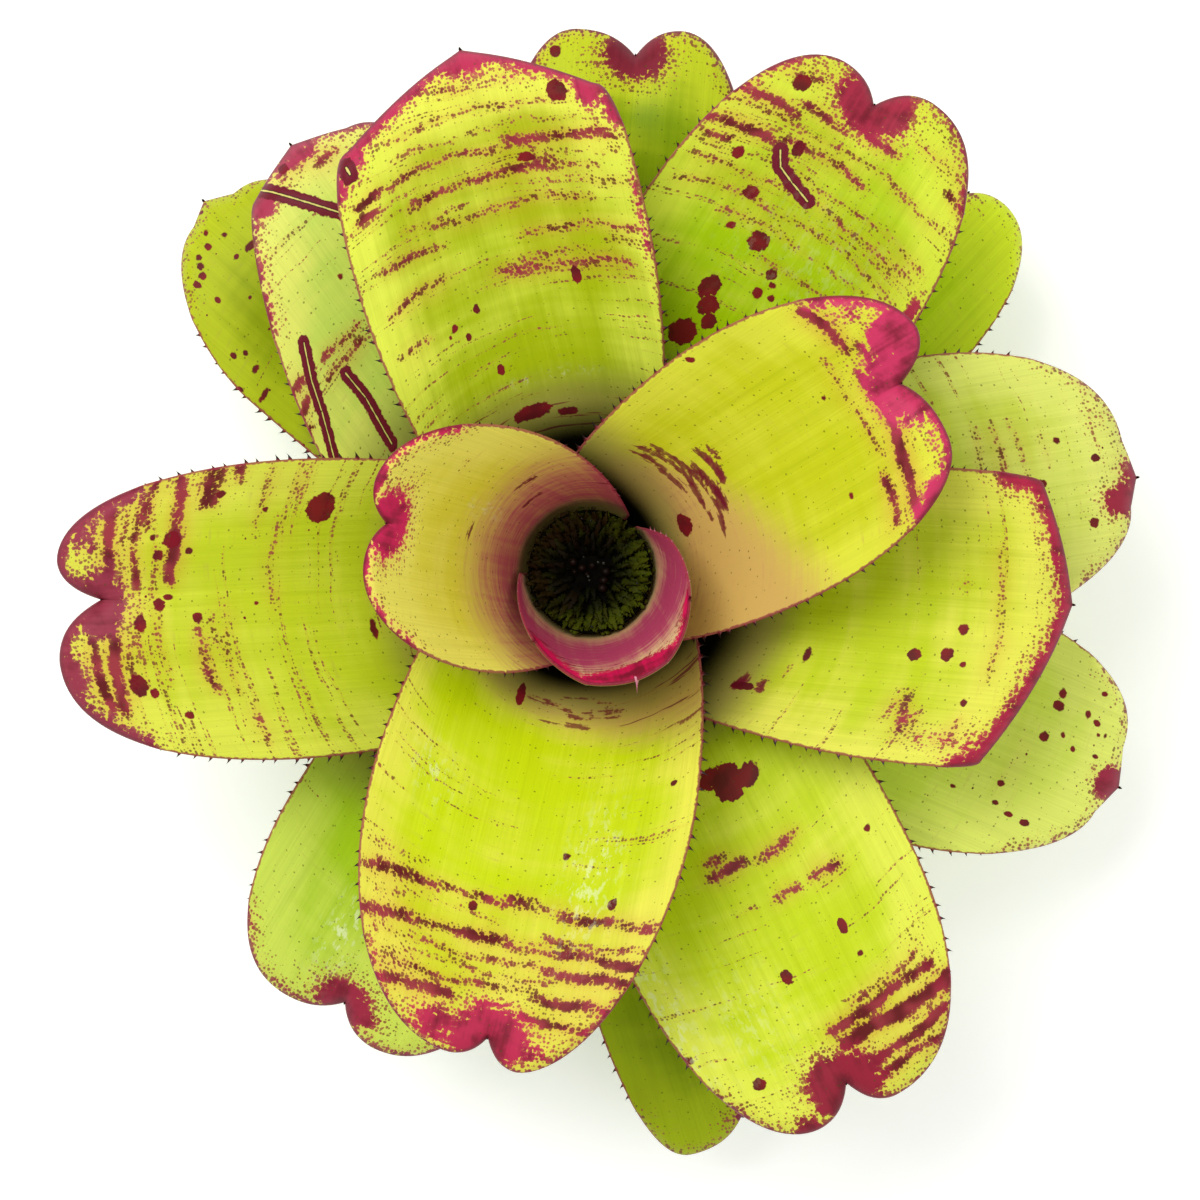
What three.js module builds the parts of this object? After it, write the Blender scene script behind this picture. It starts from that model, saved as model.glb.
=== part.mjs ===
// Neoregelia bromeliad, as lifted from its pot with the stem cut flat: seventeen broad, spiny leaves in a
// spiral rosette round a sunken flower head, all carried by one short stem. Millimetres, +Z up. The origin
// is the middle of the stem's flat foot, and +X is to the right when the rosette is looked at from above.
import * as THREE from 'three';
import { mergeVertices } from 'three/addons/utils/BufferGeometryUtils.js';

const DEGREE = Math.PI / 180;

// The stem: a short woody cone with a flat cut foot and a ring scar under each row of leaves.
const FOOT_RADIUS = 20;
const STEM_TOP_RADIUS = 13.9;
const STEM_TOP = 63;
const STEM_SIDES = 24;
const SCAR_SPACING = 7.6;
const SCAR_DEPTH = 0.5;

// The cup: the leaf bases are nested bowls about one centre. Leaf 1 is the innermost.
const CUP_CENTRE_Z = 80;
const INNER_BOWL_RADIUS = 24;
const BOWL_SPACING = 2.3;
const FIRST_SEAT_RADIUS = 15;
const SEAT_RADIUS_STEP = 0.25;
const LARGEST_WRAP = 112 * DEGREE;

// The blades: each leaves its bowl at its own rise, and then arches over towards its last rise.
const INNER_RISE = 60;
const OUTER_RISE = 20;
const RISE_RATIO = 0.88;
const ARCH_LENGTH = 90;
const LONGEST_BLADE = 230;
const SHEATH_LENGTH = 34;
const SHEATH_THICKNESS = 1.0;
const BLADE_THICKNESS = 1.4;
const TIP_ZONE = 45;
const RIM_ZONE = 0.06;
const MUCRO_REACH = 13;
const WAVE_LENGTH = 41;
const WAVE_HEIGHT = 1.2;

// The spines along both edges of a blade, at true size.
const SPINE_LENGTH = 3;
const SPINE_BASE = 1.8;
const SPINE_LEAN = 1.3;
const SPINES_A_SIDE = 9;

// The mesh of a leaf: cells along its sheath, and across it.
const SHEATH_CELLS = 5;
const CELLS_ACROSS = 8;

// The flower head: a nest of pointed bracts low in the cup, raised from a shallow bowl by a formula.
const HEAD_RADIUS = 22.2;
const HEAD_BOTTOM = STEM_TOP + 0.3;
const HEAD_FLOOR = 73;
const HEAD_RIM = 79.5;
const HEAD_SIDES = 42;
const BRACTS_ROUND = 14;
const BRACT_ROWS = 3;
const BRACT_HEIGHT = 2.6;

// Each leaf from the innermost to the outermost. Lengths are measured along the blade from the stem, and
// offsets across it from its middle, with left seen from the stem.
//   turn: direction of the blade, in degrees from +X.     lastRise: its rise at the tip, in degrees.
//   left, right: half widths.     leftWide, rightWide: how far out each half is widest.
//   neck: width of the sheath as a share of the widest.
//   leftLobe, rightLobe, tip: [length, offset] of the two lobes and of the point between them.
//   leftRound, rightRound: power of the curve from the widest place to the lobe, 2 for a plain ellipse.
//   notched: whether the tip is a notch between lobes, or a point.     fold: how far the rim is turned down.
//   channel, tilt: how far the edges rise, both alike or one against the other.     droop: fall of the tip.
const LEAVES = [
  { turn: 293, lastRise: 70, left: 46, right: 48, leftWide: 45, rightWide: 22, neck: 0.95,
    leftLobe: [90, 12], rightLobe: [82, -17], tip: [89, 0], leftRound: 1.25, rightRound: 1.05,
    notched: false, fold: 0, channel: 0, tilt: 0, droop: 0 },
  { turn: 167, lastRise: 38, left: 50, right: 50, leftWide: 60, rightWide: 55, neck: 0.93,
    leftLobe: [115, 17], rightLobe: [118, -14], tip: [106, 0], leftRound: 2, rightRound: 2,
    notched: true, fold: 2, channel: 0, tilt: 0, droop: 3 },
  { turn: 31, lastRise: 16, left: 50, right: 50, leftWide: 95, rightWide: 95, neck: 0.9,
    leftLobe: [163, 14], rightLobe: [154, -24], tip: [147, 0], leftRound: 2, rightRound: 2.1,
    notched: true, fold: 3, channel: 2, tilt: 0, droop: 6 },
  { turn: 257, lastRise: 8, left: 57, right: 60, leftWide: 100, rightWide: 105, neck: 0.92,
    leftLobe: [187, 14], rightLobe: [185, -10], tip: [177, 2], leftRound: 1.75, rightRound: 2,
    notched: true, fold: 2, channel: 3, tilt: 1, droop: 7 },
  { turn: 104, lastRise: 4, left: 55, right: 49, leftWide: 128, rightWide: 128, neck: 0.72,
    leftLobe: [173, 45], rightLobe: [174, -41], tip: [192, 0], leftRound: 2.6, rightRound: 2.6,
    notched: false, fold: 5, channel: 3, tilt: -2, droop: 6 },
  { turn: 356, lastRise: 6, left: 44, right: 60, leftWide: 120, rightWide: 125, neck: 0.8,
    leftLobe: [163, 40], rightLobe: [154, -56], tip: [172, 0], leftRound: 2.6, rightRound: 2.6,
    notched: false, fold: 5, channel: 4, tilt: 2, droop: 6 },
  { turn: 183, lastRise: 5, left: 62, right: 45, leftWide: 105, rightWide: 98, neck: 0.88,
    leftLobe: [187, 23], rightLobe: [185, -13], tip: [170, 1], leftRound: 2.3, rightRound: 2.1,
    notched: true, fold: 2, channel: -2, tilt: -2, droop: 8 },
  { turn: 58, lastRise: 4, left: 55, right: 51, leftWide: 112, rightWide: 120, neck: 0.86,
    leftLobe: [195, 19], rightLobe: [199, -15], tip: [187, 2], leftRound: 2.1, rightRound: 2.5,
    notched: true, fold: 3, channel: 3, tilt: 3, droop: 8 },
  { turn: 296, lastRise: 2, left: 60, right: 50, leftWide: 130, rightWide: 125, neck: 0.88,
    leftLobe: [206, 16], rightLobe: [205, -14], tip: [194, 2], leftRound: 2.3, rightRound: 2.1,
    notched: true, fold: 2, channel: 2, tilt: 2, droop: 9 },
  { turn: 126, lastRise: 2, left: 56, right: 48, leftWide: 90, rightWide: 110, neck: 0.86,
    leftLobe: [168, 20], rightLobe: [171, -22], tip: [177, -3], leftRound: 1.2, rightRound: 2.2,
    notched: false, fold: 5, channel: -4, tilt: 0, droop: 12 },
  { turn: 9.5, lastRise: 0, left: 57, right: 46, leftWide: 115, rightWide: 110, neck: 0.86,
    leftLobe: [184, 14], rightLobe: [183, -9], tip: [187, 1], leftRound: 2.3, rightRound: 1.9,
    notched: false, fold: 4, channel: -3, tilt: 2, droop: 10 },
  { turn: 240, lastRise: 0, left: 52, right: 53, leftWide: 115, rightWide: 115, neck: 0.86,
    leftLobe: [175, 18], rightLobe: [174, -21], tip: [165, 1], leftRound: 2.3, rightRound: 2.3,
    notched: true, fold: 3, channel: 2, tilt: -3, droop: 10 },
  { turn: 85, lastRise: -2, left: 45, right: 44, leftWide: 120, rightWide: 120, neck: 0.86,
    leftLobe: [181, 22], rightLobe: [183, -17], tip: [172, 0], leftRound: 2.2, rightRound: 2,
    notched: true, fold: 3, channel: -3, tilt: 0, droop: 10 },
  { turn: 337, lastRise: -4, left: 48, right: 48, leftWide: 125, rightWide: 115, neck: 0.86,
    leftLobe: [187, 16], rightLobe: [186, -8], tip: [191, 3], leftRound: 2.5, rightRound: 1.75,
    notched: false, fold: 4, channel: -4, tilt: -2, droop: 10 },
  { turn: 138, lastRise: -5, left: 36, right: 42, leftWide: 122, rightWide: 115, neck: 0.9,
    leftLobe: [174, 3], rightLobe: [172, -15], tip: [178, -6], leftRound: 1.8, rightRound: 2.2,
    notched: false, fold: 3, channel: -3, tilt: 2, droop: 10 },
  { turn: 46, lastRise: -7, left: 44, right: 44, leftWide: 115, rightWide: 130, neck: 0.86,
    leftLobe: [181, 15], rightLobe: [184, -17], tip: [177, -3], leftRound: 2.2, rightRound: 2.2,
    notched: true, fold: 3, channel: -2, tilt: 0, droop: 8 },
  { turn: 287, lastRise: -8, left: 44, right: 45, leftWide: 115, rightWide: 135, neck: 0.82,
    leftLobe: [190, 16], rightLobe: [197, -27], tip: [187, -5], leftRound: 2.2, rightRound: 2.2,
    notched: true, fold: 2, channel: -2, tilt: 0, droop: 8 },
];

// Colours of the blades from the warm young leaves inside to the green old ones outside.
const INNER_COLOUR = new THREE.Color(0xc9c24a);
const OUTER_COLOUR = new THREE.Color(0x7fa32b);

function ease(t) {
  const held = Math.min(1, Math.max(0, t));
  return held * held * (3 - 2 * held);
}

// The curve that a leaf's middle follows in the plane through the plant's axis: an arc of its bowl from the
// stem up to its first rise, and then a blade whose rise dies away towards its last rise. Returns a function
// of the length along the leaf that gives the distance from the axis, the height and the rise.
function middleLine(leaf, order) {
  const bowl = INNER_BOWL_RADIUS + BOWL_SPACING * order;
  const seat = FIRST_SEAT_RADIUS + SEAT_RADIUS_STEP * order;
  const seatAngle = Math.asin(seat / bowl);
  const firstRise = (OUTER_RISE + INNER_RISE * RISE_RATIO ** order) * DEGREE;
  const lastRise = leaf.lastRise * DEGREE;
  const bowlLength = bowl * (firstRise - seatAngle);
  const riseAt = (out) => lastRise + (firstRise - lastRise) * Math.exp(-out / ARCH_LENGTH);
  const steps = [[bowl * Math.sin(firstRise), CUP_CENTRE_Z - bowl * Math.cos(firstRise)]];
  for (let out = 1; out <= LONGEST_BLADE; out += 1) {
    const [radius, height] = steps[out - 1];
    const rise = riseAt(out - 0.5);
    steps.push([radius + Math.cos(rise), height + Math.sin(rise)]);
  }
  return (length) => {
    if (length <= bowlLength) {
      const angle = seatAngle + length / bowl;
      return { radius: bowl * Math.sin(angle), height: CUP_CENTRE_Z - bowl * Math.cos(angle) };
    }
    const out = length - bowlLength;
    const whole = Math.floor(out);
    const part = out - whole;
    return {
      radius: steps[whole][0] * (1 - part) + steps[whole + 1][0] * part,
      height: steps[whole][1] * (1 - part) + steps[whole + 1][1] * part,
    };
  };
}

// A place on the leaf's middle surface. Points at one length lie on a circle round the plant's axis, which
// wraps the sheath round the stem and leaves the blade nearly flat. The blade is then channelled, tilted
// and waved, its tip droops, its rim is turned down and its point pulls the surface down round itself.
function surfacePoint(leaf, line, length, offset, nearRim) {
  const { radius, height } = line(length);
  const angle = leaf.turn * DEGREE + offset / radius;
  const furthest = Math.max(leaf.leftLobe[0], leaf.rightLobe[0], leaf.tip[0]);
  const out = ease((length - SHEATH_LENGTH) / (furthest - SHEATH_LENGTH));
  const side = offset / (offset > 0 ? leaf.left : leaf.right);
  const tipward = Math.max(0, (length - furthest + TIP_ZONE) / TIP_ZONE);
  const toTip = Math.hypot(length - leaf.tip[0], offset - leaf.tip[1]) / MUCRO_REACH;
  const wave = Math.sin((length / WAVE_LENGTH) * 2 * Math.PI + leaf.turn + (offset > 0 ? 2 : 0));
  let lift = out * (leaf.channel * side * side + leaf.tilt * side);
  lift += out * WAVE_HEIGHT * wave * Math.abs(side) ** 3;
  lift -= leaf.droop * tipward ** 2;
  lift -= leaf.fold * nearRim ** 2;
  lift -= leaf.fold * Math.exp(-toTip * toTip);
  return new THREE.Vector3(radius * Math.cos(angle), radius * Math.sin(angle), height + lift);
}

// One half of the outline, as points [length, offset] from the sheath's corner to the lobe. The half grows
// from its neck to its widest place, and a quarter of a superellipse then leads in to the lobe. shoulder
// is the number of the point halfway round that quarter, where the side ends and the end of the leaf begins.
function halfOutline(leaf, line, sign) {
  const width = sign > 0 ? leaf.left : leaf.right;
  const wide = sign > 0 ? leaf.leftWide : leaf.rightWide;
  const lobe = sign > 0 ? leaf.leftLobe : leaf.rightLobe;
  const round = sign > 0 ? leaf.leftRound : leaf.rightRound;
  const inset = sign * lobe[1];
  const points = [];
  const sideSteps = 24;
  const lobeSteps = 12;
  for (let step = 0; step < sideSteps; step += 1) {
    const length = (wide * step) / sideSteps;
    const share = leaf.neck + (1 - leaf.neck) * ease(length / wide);
    const wrapped = LARGEST_WRAP * line(length).radius;
    points.push([length, sign * Math.min(width * share, wrapped)]);
  }
  for (let step = 0; step <= lobeSteps; step += 1) {
    const angle = (step / lobeSteps) * (Math.PI / 2);
    const length = wide + (lobe[0] - wide) * Math.sin(angle) ** (2 / round);
    const offset = inset + (width - inset) * Math.max(0, Math.cos(angle)) ** (2 / round);
    points.push([length, sign * offset]);
  }
  return { points, shoulder: sideSteps + lobeSteps / 2 };
}

// The stretch from a lobe to the tip: straight to a point, or down into a notch with steep walls.
function lobeToTip(leaf, lobe) {
  const points = [];
  const steps = 8;
  for (let step = 1; step <= steps; step += 1) {
    const t = step / steps;
    const fall = leaf.notched ? 0.55 * t ** 1.7 + 0.45 * t ** 4 : t;
    points.push([lobe[0] + (leaf.tip[0] - lobe[0]) * fall, lobe[1] + (leaf.tip[1] - lobe[1]) * t]);
  }
  return points;
}

// A function that gives the point at a share of the way along a row of points, by distance.
function walk(points) {
  const distances = [0];
  for (let i = 1; i < points.length; i += 1) {
    const step = Math.hypot(points[i][0] - points[i - 1][0], points[i][1] - points[i - 1][1]);
    distances.push(distances[i - 1] + step);
  }
  const total = distances[distances.length - 1];
  const at = (share) => {
    const wanted = Math.min(total, Math.max(0, share * total));
    let i = 1;
    while (i < distances.length - 1 && distances[i] < wanted) i += 1;
    const part = (wanted - distances[i - 1]) / (distances[i] - distances[i - 1]);
    return [0, 1].map((axis) => points[i - 1][axis] * (1 - part) + points[i][axis] * part);
  };
  return { at, total };
}

// The flat pattern of a leaf: a function of (up, across) that fills the outline from its two sides, its
// base and its end, as a Coons patch does. up runs 0 to 1 from the stem, across runs 0 to 1 right to left.
function leafPattern(leaf, line) {
  const rightHalf = halfOutline(leaf, line, -1);
  const leftHalf = halfOutline(leaf, line, 1);
  const right = walk(rightHalf.points.slice(0, rightHalf.shoulder + 1));
  const left = walk(leftHalf.points.slice(0, leftHalf.shoulder + 1));
  const rightLobe = rightHalf.points.slice(rightHalf.shoulder);
  const leftLobe = leftHalf.points.slice(leftHalf.shoulder);
  const stretches = [
    walk(rightLobe),
    walk([leaf.rightLobe, ...lobeToTip(leaf, leaf.rightLobe)]),
    walk([leaf.leftLobe, ...lobeToTip(leaf, leaf.leftLobe)].reverse()),
    walk(leftLobe.reverse()),
  ];
  const end = (across) => {
    const quarter = Math.min(3, Math.floor(across * 4));
    return stretches[quarter].at(across * 4 - quarter);
  };
  const base = (across) => [0, 1].map((axis) => right.at(0)[axis] * (1 - across) + left.at(0)[axis] * across);
  const blend = (up, across) => {
    const corners = [right.at(0), left.at(0), end(0), end(1)];
    const [sideRight, sideLeft, sideBase, sideEnd] = [right.at(up), left.at(up), base(across), end(across)];
    return [0, 1].map((axis) => {
      const sides = (1 - across) * sideRight[axis] + across * sideLeft[axis];
      const ends = (1 - up) * sideBase[axis] + up * sideEnd[axis];
      const low = (1 - up) * ((1 - across) * corners[0][axis] + across * corners[1][axis]);
      const high = up * ((1 - across) * corners[2][axis] + across * corners[3][axis]);
      return sides + ends - low - high;
    });
  };
  return { blend, sideLength: (left.total + right.total) / 2 };
}

// How far up each row of the mesh lies, as shares of the side's length. Past the sheath the rows come in
// pairs with a spine's base between them.
function rowShares(sideLength) {
  const sheathShare = SHEATH_LENGTH / sideLength;
  const spineShare = SPINE_BASE / sideLength;
  const pitch = (1 - sheathShare) / SPINES_A_SIDE;
  const rows = [];
  for (let cell = 0; cell < SHEATH_CELLS; cell += 1) {
    rows.push({ up: (sheathShare * cell) / SHEATH_CELLS, spine: false });
  }
  for (let spine = 0; spine < SPINES_A_SIDE; spine += 1) {
    rows.push({ up: sheathShare + pitch * spine, spine: true });
    rows.push({ up: sheathShare + pitch * spine + spineShare, spine: false });
  }
  rows.push({ up: 1, spine: false });
  return rows;
}

// The closed solid of one leaf: an upper and a lower face with the same triangles, half the thickness off
// the middle surface, joined by a wall round the edge from which the spines rise.
function leafGeometry(leaf, order) {
  const line = middleLine(leaf, order);
  const pattern = leafPattern(leaf, line);
  const rows = rowShares(pattern.sideLength);
  const nudge = 0.004;
  const spot = (up, across) => {
    const [length, offset] = pattern.blend(up, across);
    const nearRim = Math.max(0, 1 - (1 - up) / RIM_ZONE);
    return surfacePoint(leaf, line, length, offset, nearRim);
  };
  const columns = CELLS_ACROSS + 1;
  const upper = [];
  const lower = [];
  const facings = [];
  for (const { up } of rows) {
    for (let column = 0; column < columns; column += 1) {
      const across = column / CELLS_ACROSS;
      const along = spot(Math.min(1, up + nudge), across).sub(spot(Math.max(0, up - nudge), across));
      const sideways = spot(up, Math.min(1, across + nudge)).sub(spot(up, Math.max(0, across - nudge)));
      const facing = along.cross(sideways).normalize();
      const grown = ease((up * pattern.sideLength) / SHEATH_LENGTH - 1);
      const half = (SHEATH_THICKNESS + (BLADE_THICKNESS - SHEATH_THICKNESS) * grown) / 2;
      const middle = spot(up, across);
      upper.push(middle.clone().addScaledVector(facing, half));
      lower.push(middle.clone().addScaledVector(facing, -half));
      facings.push(facing);
    }
  }
  const vertices = [...upper, ...lower];
  const under = upper.length;
  const faces = [];
  const at = (row, column) => row * columns + column;
  for (let row = 0; row < rows.length - 1; row += 1) {
    for (let column = 0; column < CELLS_ACROSS; column += 1) {
      const [a, b] = [at(row, column), at(row + 1, column)];
      const [c, d] = [at(row + 1, column + 1), at(row, column + 1)];
      faces.push([a, b, c], [a, c, d]);
      faces.push([under + a, under + c, under + b], [under + a, under + d, under + c]);
    }
  }
  const wall = (a, b) => faces.push([a, under + a, under + b], [a, under + b, b]);
  const spineOn = (a, b, tipwards) => {
    const edge = vertices[b].clone().sub(vertices[a]).normalize();
    const outward = edge.clone().cross(facings[a]).normalize();
    const corners = [a, under + a, under + b, b];
    const point = new THREE.Vector3();
    corners.forEach((corner) => point.addScaledVector(vertices[corner], 0.25));
    point.addScaledVector(outward, SPINE_LENGTH).addScaledVector(edge, tipwards * SPINE_LEAN);
    vertices.push(point);
    const apex = vertices.length - 1;
    corners.forEach((corner, i) => faces.push([corner, corners[(i + 1) % 4], apex]));
  };
  const lastRow = rows.length - 1;
  for (let row = 0; row < lastRow; row += 1) {
    const right = [at(row, 0), at(row + 1, 0)];
    const left = [at(row + 1, CELLS_ACROSS), at(row, CELLS_ACROSS)];
    if (rows[row].spine) {
      spineOn(...right, 1);
      spineOn(...left, -1);
    } else {
      wall(...right);
      wall(...left);
    }
  }
  for (let column = 0; column < CELLS_ACROSS; column += 1) {
    wall(at(lastRow, column), at(lastRow, column + 1));
    wall(at(0, column + 1), at(0, column));
  }
  return solid(vertices, faces);
}

function solid(vertices, faces) {
  const geometry = new THREE.BufferGeometry();
  const positions = vertices.flatMap((vertex) => [vertex.x, vertex.y, vertex.z]);
  geometry.setAttribute('position', new THREE.Float32BufferAttribute(positions, 3));
  geometry.setIndex(faces.flat());
  geometry.computeVertexNormals();
  return geometry;
}

// The stem: a cone from the foot to the seat of the flower head, with shallow scars where old leaves sat.
function stemGeometry() {
  const profile = [new THREE.Vector2(0, 0), new THREE.Vector2(FOOT_RADIUS, 0)];
  const radiusAt = (height) => FOOT_RADIUS + ((STEM_TOP_RADIUS - FOOT_RADIUS) * height) / STEM_TOP;
  for (let height = SCAR_SPACING; height < STEM_TOP - 1; height += SCAR_SPACING) {
    profile.push(new THREE.Vector2(radiusAt(height - 1), height - 1));
    profile.push(new THREE.Vector2(radiusAt(height) - SCAR_DEPTH, height));
    profile.push(new THREE.Vector2(radiusAt(height), height + 0.6));
  }
  profile.push(new THREE.Vector2(STEM_TOP_RADIUS, STEM_TOP));
  profile.push(new THREE.Vector2(0, STEM_TOP));
  const geometry = new THREE.LatheGeometry(profile, STEM_SIDES);
  geometry.deleteAttribute('normal');
  geometry.deleteAttribute('uv');
  geometry.rotateX(Math.PI / 2);
  return mergeVertices(geometry, 1e-4);
}

// The flower head: its underside follows the innermost bowl, and its top is a shallow nest. Rows of
// pointed bracts stand up from the top: each bract is a ridge that is highest at its middle and outer end.
function headGeometry() {
  const rings = [];
  const underside = (height) => Math.sqrt(HEAD_RADIUS ** 2 - (CUP_CENTRE_Z - height) ** 2);
  const undersideRows = 4;
  const heightStep = (HEAD_RIM - HEAD_BOTTOM) / undersideRows;
  for (let row = 0; row <= undersideRows; row += 1) {
    const height = HEAD_BOTTOM + heightStep * row;
    rings.push(() => [underside(height), height]);
  }
  const rimRadius = underside(HEAD_RIM) - 1;
  const stepsARow = 3;
  const topRows = BRACT_ROWS * stepsARow;
  for (let row = 0; row < topRows; row += 1) {
    const inward = (row + 0.5) / topRows;
    const radius = rimRadius * (1 - inward * 0.92);
    const bractRow = Math.floor(row / stepsARow);
    const outerEnd = 1 - (row % stepsARow) / stepsARow;
    const nest = HEAD_FLOOR + (HEAD_RIM - HEAD_FLOOR) * (radius / rimRadius) ** 2;
    rings.push((side) => {
      const turn = (side / HEAD_SIDES) * BRACTS_ROUND + bractRow * 0.5;
      const middle = 0.5 + 0.5 * Math.cos(turn * 2 * Math.PI);
      return [radius, nest + BRACT_HEIGHT * outerEnd * middle];
    });
  }
  const vertices = [new THREE.Vector3(0, 0, HEAD_BOTTOM)];
  rings.forEach((ring) => {
    for (let side = 0; side < HEAD_SIDES; side += 1) {
      const angle = (side / HEAD_SIDES) * 2 * Math.PI;
      const [radius, height] = ring(side);
      vertices.push(new THREE.Vector3(radius * Math.cos(angle), radius * Math.sin(angle), height));
    }
  });
  vertices.push(new THREE.Vector3(0, 0, HEAD_FLOOR + 1));
  const at = (ring, side) => 1 + ring * HEAD_SIDES + (side % HEAD_SIDES);
  const faces = [];
  for (let side = 0; side < HEAD_SIDES; side += 1) {
    faces.push([0, at(0, side + 1), at(0, side)]);
    for (let ring = 0; ring < rings.length - 1; ring += 1) {
      const [a, b] = [at(ring, side), at(ring, side + 1)];
      const [c, d] = [at(ring + 1, side + 1), at(ring + 1, side)];
      faces.push([a, b, c], [a, c, d]);
    }
    faces.push([at(rings.length - 1, side), at(rings.length - 1, side + 1), vertices.length - 1]);
  }
  return solid(vertices, faces);
}

function part(name, geometry, material) {
  const mesh = new THREE.Mesh(geometry, material);
  mesh.name = name;
  return mesh;
}

const bromeliad = new THREE.Group();
LEAVES.forEach((leaf, order) => {
  const colour = INNER_COLOUR.clone().lerp(OUTER_COLOUR, order / (LEAVES.length - 1));
  const blade = new THREE.MeshStandardMaterial({ color: colour, roughness: 0.42, metalness: 0 });
  bromeliad.add(part(`leaf_${String(order + 1).padStart(2, '0')}`, leafGeometry(leaf, order), blade));
});
const bark = new THREE.MeshStandardMaterial({ color: 0x8a7a55, roughness: 0.8, metalness: 0 });
const bract = new THREE.MeshStandardMaterial({ color: 0x2c3a17, roughness: 0.7, metalness: 0 });
bromeliad.add(part('stem', stemGeometry(), bark));
bromeliad.add(part('flower_head', headGeometry(), bract));

export default bromeliad;
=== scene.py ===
"""Looks of a neoregelia bromeliad: seventeen waxy, toothed leaves round a nest of dark bracts, on a cut stem.

Lengths are in millimetres until a mesh is made. Each leaf is worked out from the same named sizes as its
solid: a flat pattern of (length along the leaf, offset across it) is laid on a bowl-shaped surface.
"""

import math
from functools import partial
from types import SimpleNamespace

import bpy
import numpy as np
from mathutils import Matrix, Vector


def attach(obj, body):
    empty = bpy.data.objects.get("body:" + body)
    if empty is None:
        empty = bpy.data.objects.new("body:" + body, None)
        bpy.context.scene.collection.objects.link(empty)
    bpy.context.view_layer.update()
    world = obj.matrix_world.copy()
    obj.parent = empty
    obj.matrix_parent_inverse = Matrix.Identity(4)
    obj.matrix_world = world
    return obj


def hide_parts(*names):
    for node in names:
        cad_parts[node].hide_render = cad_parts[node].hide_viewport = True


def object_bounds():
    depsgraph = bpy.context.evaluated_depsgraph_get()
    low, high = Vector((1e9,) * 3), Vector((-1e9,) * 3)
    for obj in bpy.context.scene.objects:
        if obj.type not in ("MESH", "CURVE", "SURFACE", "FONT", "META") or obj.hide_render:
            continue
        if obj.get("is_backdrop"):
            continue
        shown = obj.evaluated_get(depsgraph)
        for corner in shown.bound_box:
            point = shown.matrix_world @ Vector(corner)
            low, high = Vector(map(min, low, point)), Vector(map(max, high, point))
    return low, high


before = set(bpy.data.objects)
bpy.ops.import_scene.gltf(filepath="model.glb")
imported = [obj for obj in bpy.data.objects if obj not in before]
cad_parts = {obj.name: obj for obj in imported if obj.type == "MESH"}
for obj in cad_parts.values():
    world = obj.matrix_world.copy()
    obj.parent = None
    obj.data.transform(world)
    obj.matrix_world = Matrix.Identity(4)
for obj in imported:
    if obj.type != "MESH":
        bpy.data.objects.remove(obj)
cad_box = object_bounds()

MM = 0.001
PER_MM = 1 / MM
DEGREE = math.pi / 180
TURN = 2 * math.pi
chance = np.random.default_rng(17)

# The camera looks straight down, a little off the plant's axis, with a long lens. Its focal length is given
# in pixels of the square picture.
CAMERA_PLACE = (3.4, -9.9, 1500)
FOCAL_PIXELS = 4088
PICTURE_PIXELS = 1200
SENSOR_WIDTH = 36

# The floor lies a little under the stem's foot. Each lamp has a place, a width and its watts.
FLOOR_HALF_WIDTH = 3000
FLOOR_DROP = 0.2
FLOOR_GLOW = 0.28
LAMPS = {
    "key_light": ((-900, 900, 1900), 1400, 31),
    "fill_light": ((1200, -600, 1600), 1600, 8),
}
LAMPS_AIM = (0, 0, 100)
STUDIO_GLOW = 0.62

# The cup and the blades, as in the solids.
CUP_CENTRE_Z = 80
INNER_BOWL_RADIUS = 24
BOWL_SPACING = 2.3
FIRST_SEAT_RADIUS = 15
SEAT_RADIUS_STEP = 0.25
LARGEST_WRAP = 112 * DEGREE
INNER_RISE = 60
OUTER_RISE = 20
RISE_RATIO = 0.88
ARCH_LENGTH = 90
LONGEST_BLADE = 230
SHEATH_LENGTH = 34
SHEATH_THICKNESS = 1.0
BLADE_THICKNESS = 1.4
TIP_ZONE = 45
RIM_ZONE = 0.06
MUCRO_REACH = 13
WAVE_LENGTH = 41
WAVE_HEIGHT = 1.2

# How finely a leaf is cut up. Crowding is how much its rows and columns gather towards the border.
LEAF_ROWS = 138
LEAF_COLUMNS = 72
ROW_CROWDING = 0.3
COLUMN_CROWDING = 0.55
BOWL_STEPS = 90
SIDE_STEPS = 60
LOBE_STEPS = 40
TIP_STEPS = 30

# What only the finer leaf surface has.
EDGE_ROUNDING = 1.1
LIP_WIDTH = 5
LIP_CURL = 2.2
CREASE_REACH = 7

# The spines are sunk into the edge. They lean towards the tip and hook down by shares of their length, and
# the innermost leaf's are the smallest.
SPINE_SPACING = 5.7
SPINE_LENGTH = 3.9
SPINE_ROOT = 3.0
SPINE_THICKNESS = 0.9
SPINE_SINK = 0.7
SPINE_LEAN = 0.5
SPINE_HOOK = 0.2
SPINE_BLUNTNESS = 0.03
SPINE_RINGS = 5
SPINE_SIDES = 6
FIRST_SPINE = 0.8 * SHEATH_LENGTH
LAST_SPINE_GAP = 2
YOUNG_SPINE_SIZE = 0.55
SPINE_SIZE_STEP = 0.2
MUCRO_SIZE = 1.15

# The stem. A leaf scar starts at a share of the way from between two rings to a ring.
FOOT_RADIUS = 20
STEM_TOP_RADIUS = 13.9
STEM_TOP = 63
STEM_RINGS = 190
STEM_SIDES = 110
SCAR_SPACING = 7.6
SCAR_DEPTH = 0.5
SCAR_START = 0.7
SCAR_EASE = 0.25
BARK_INSET = 0.2
FIBRE_HEIGHT = 0.22

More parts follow.
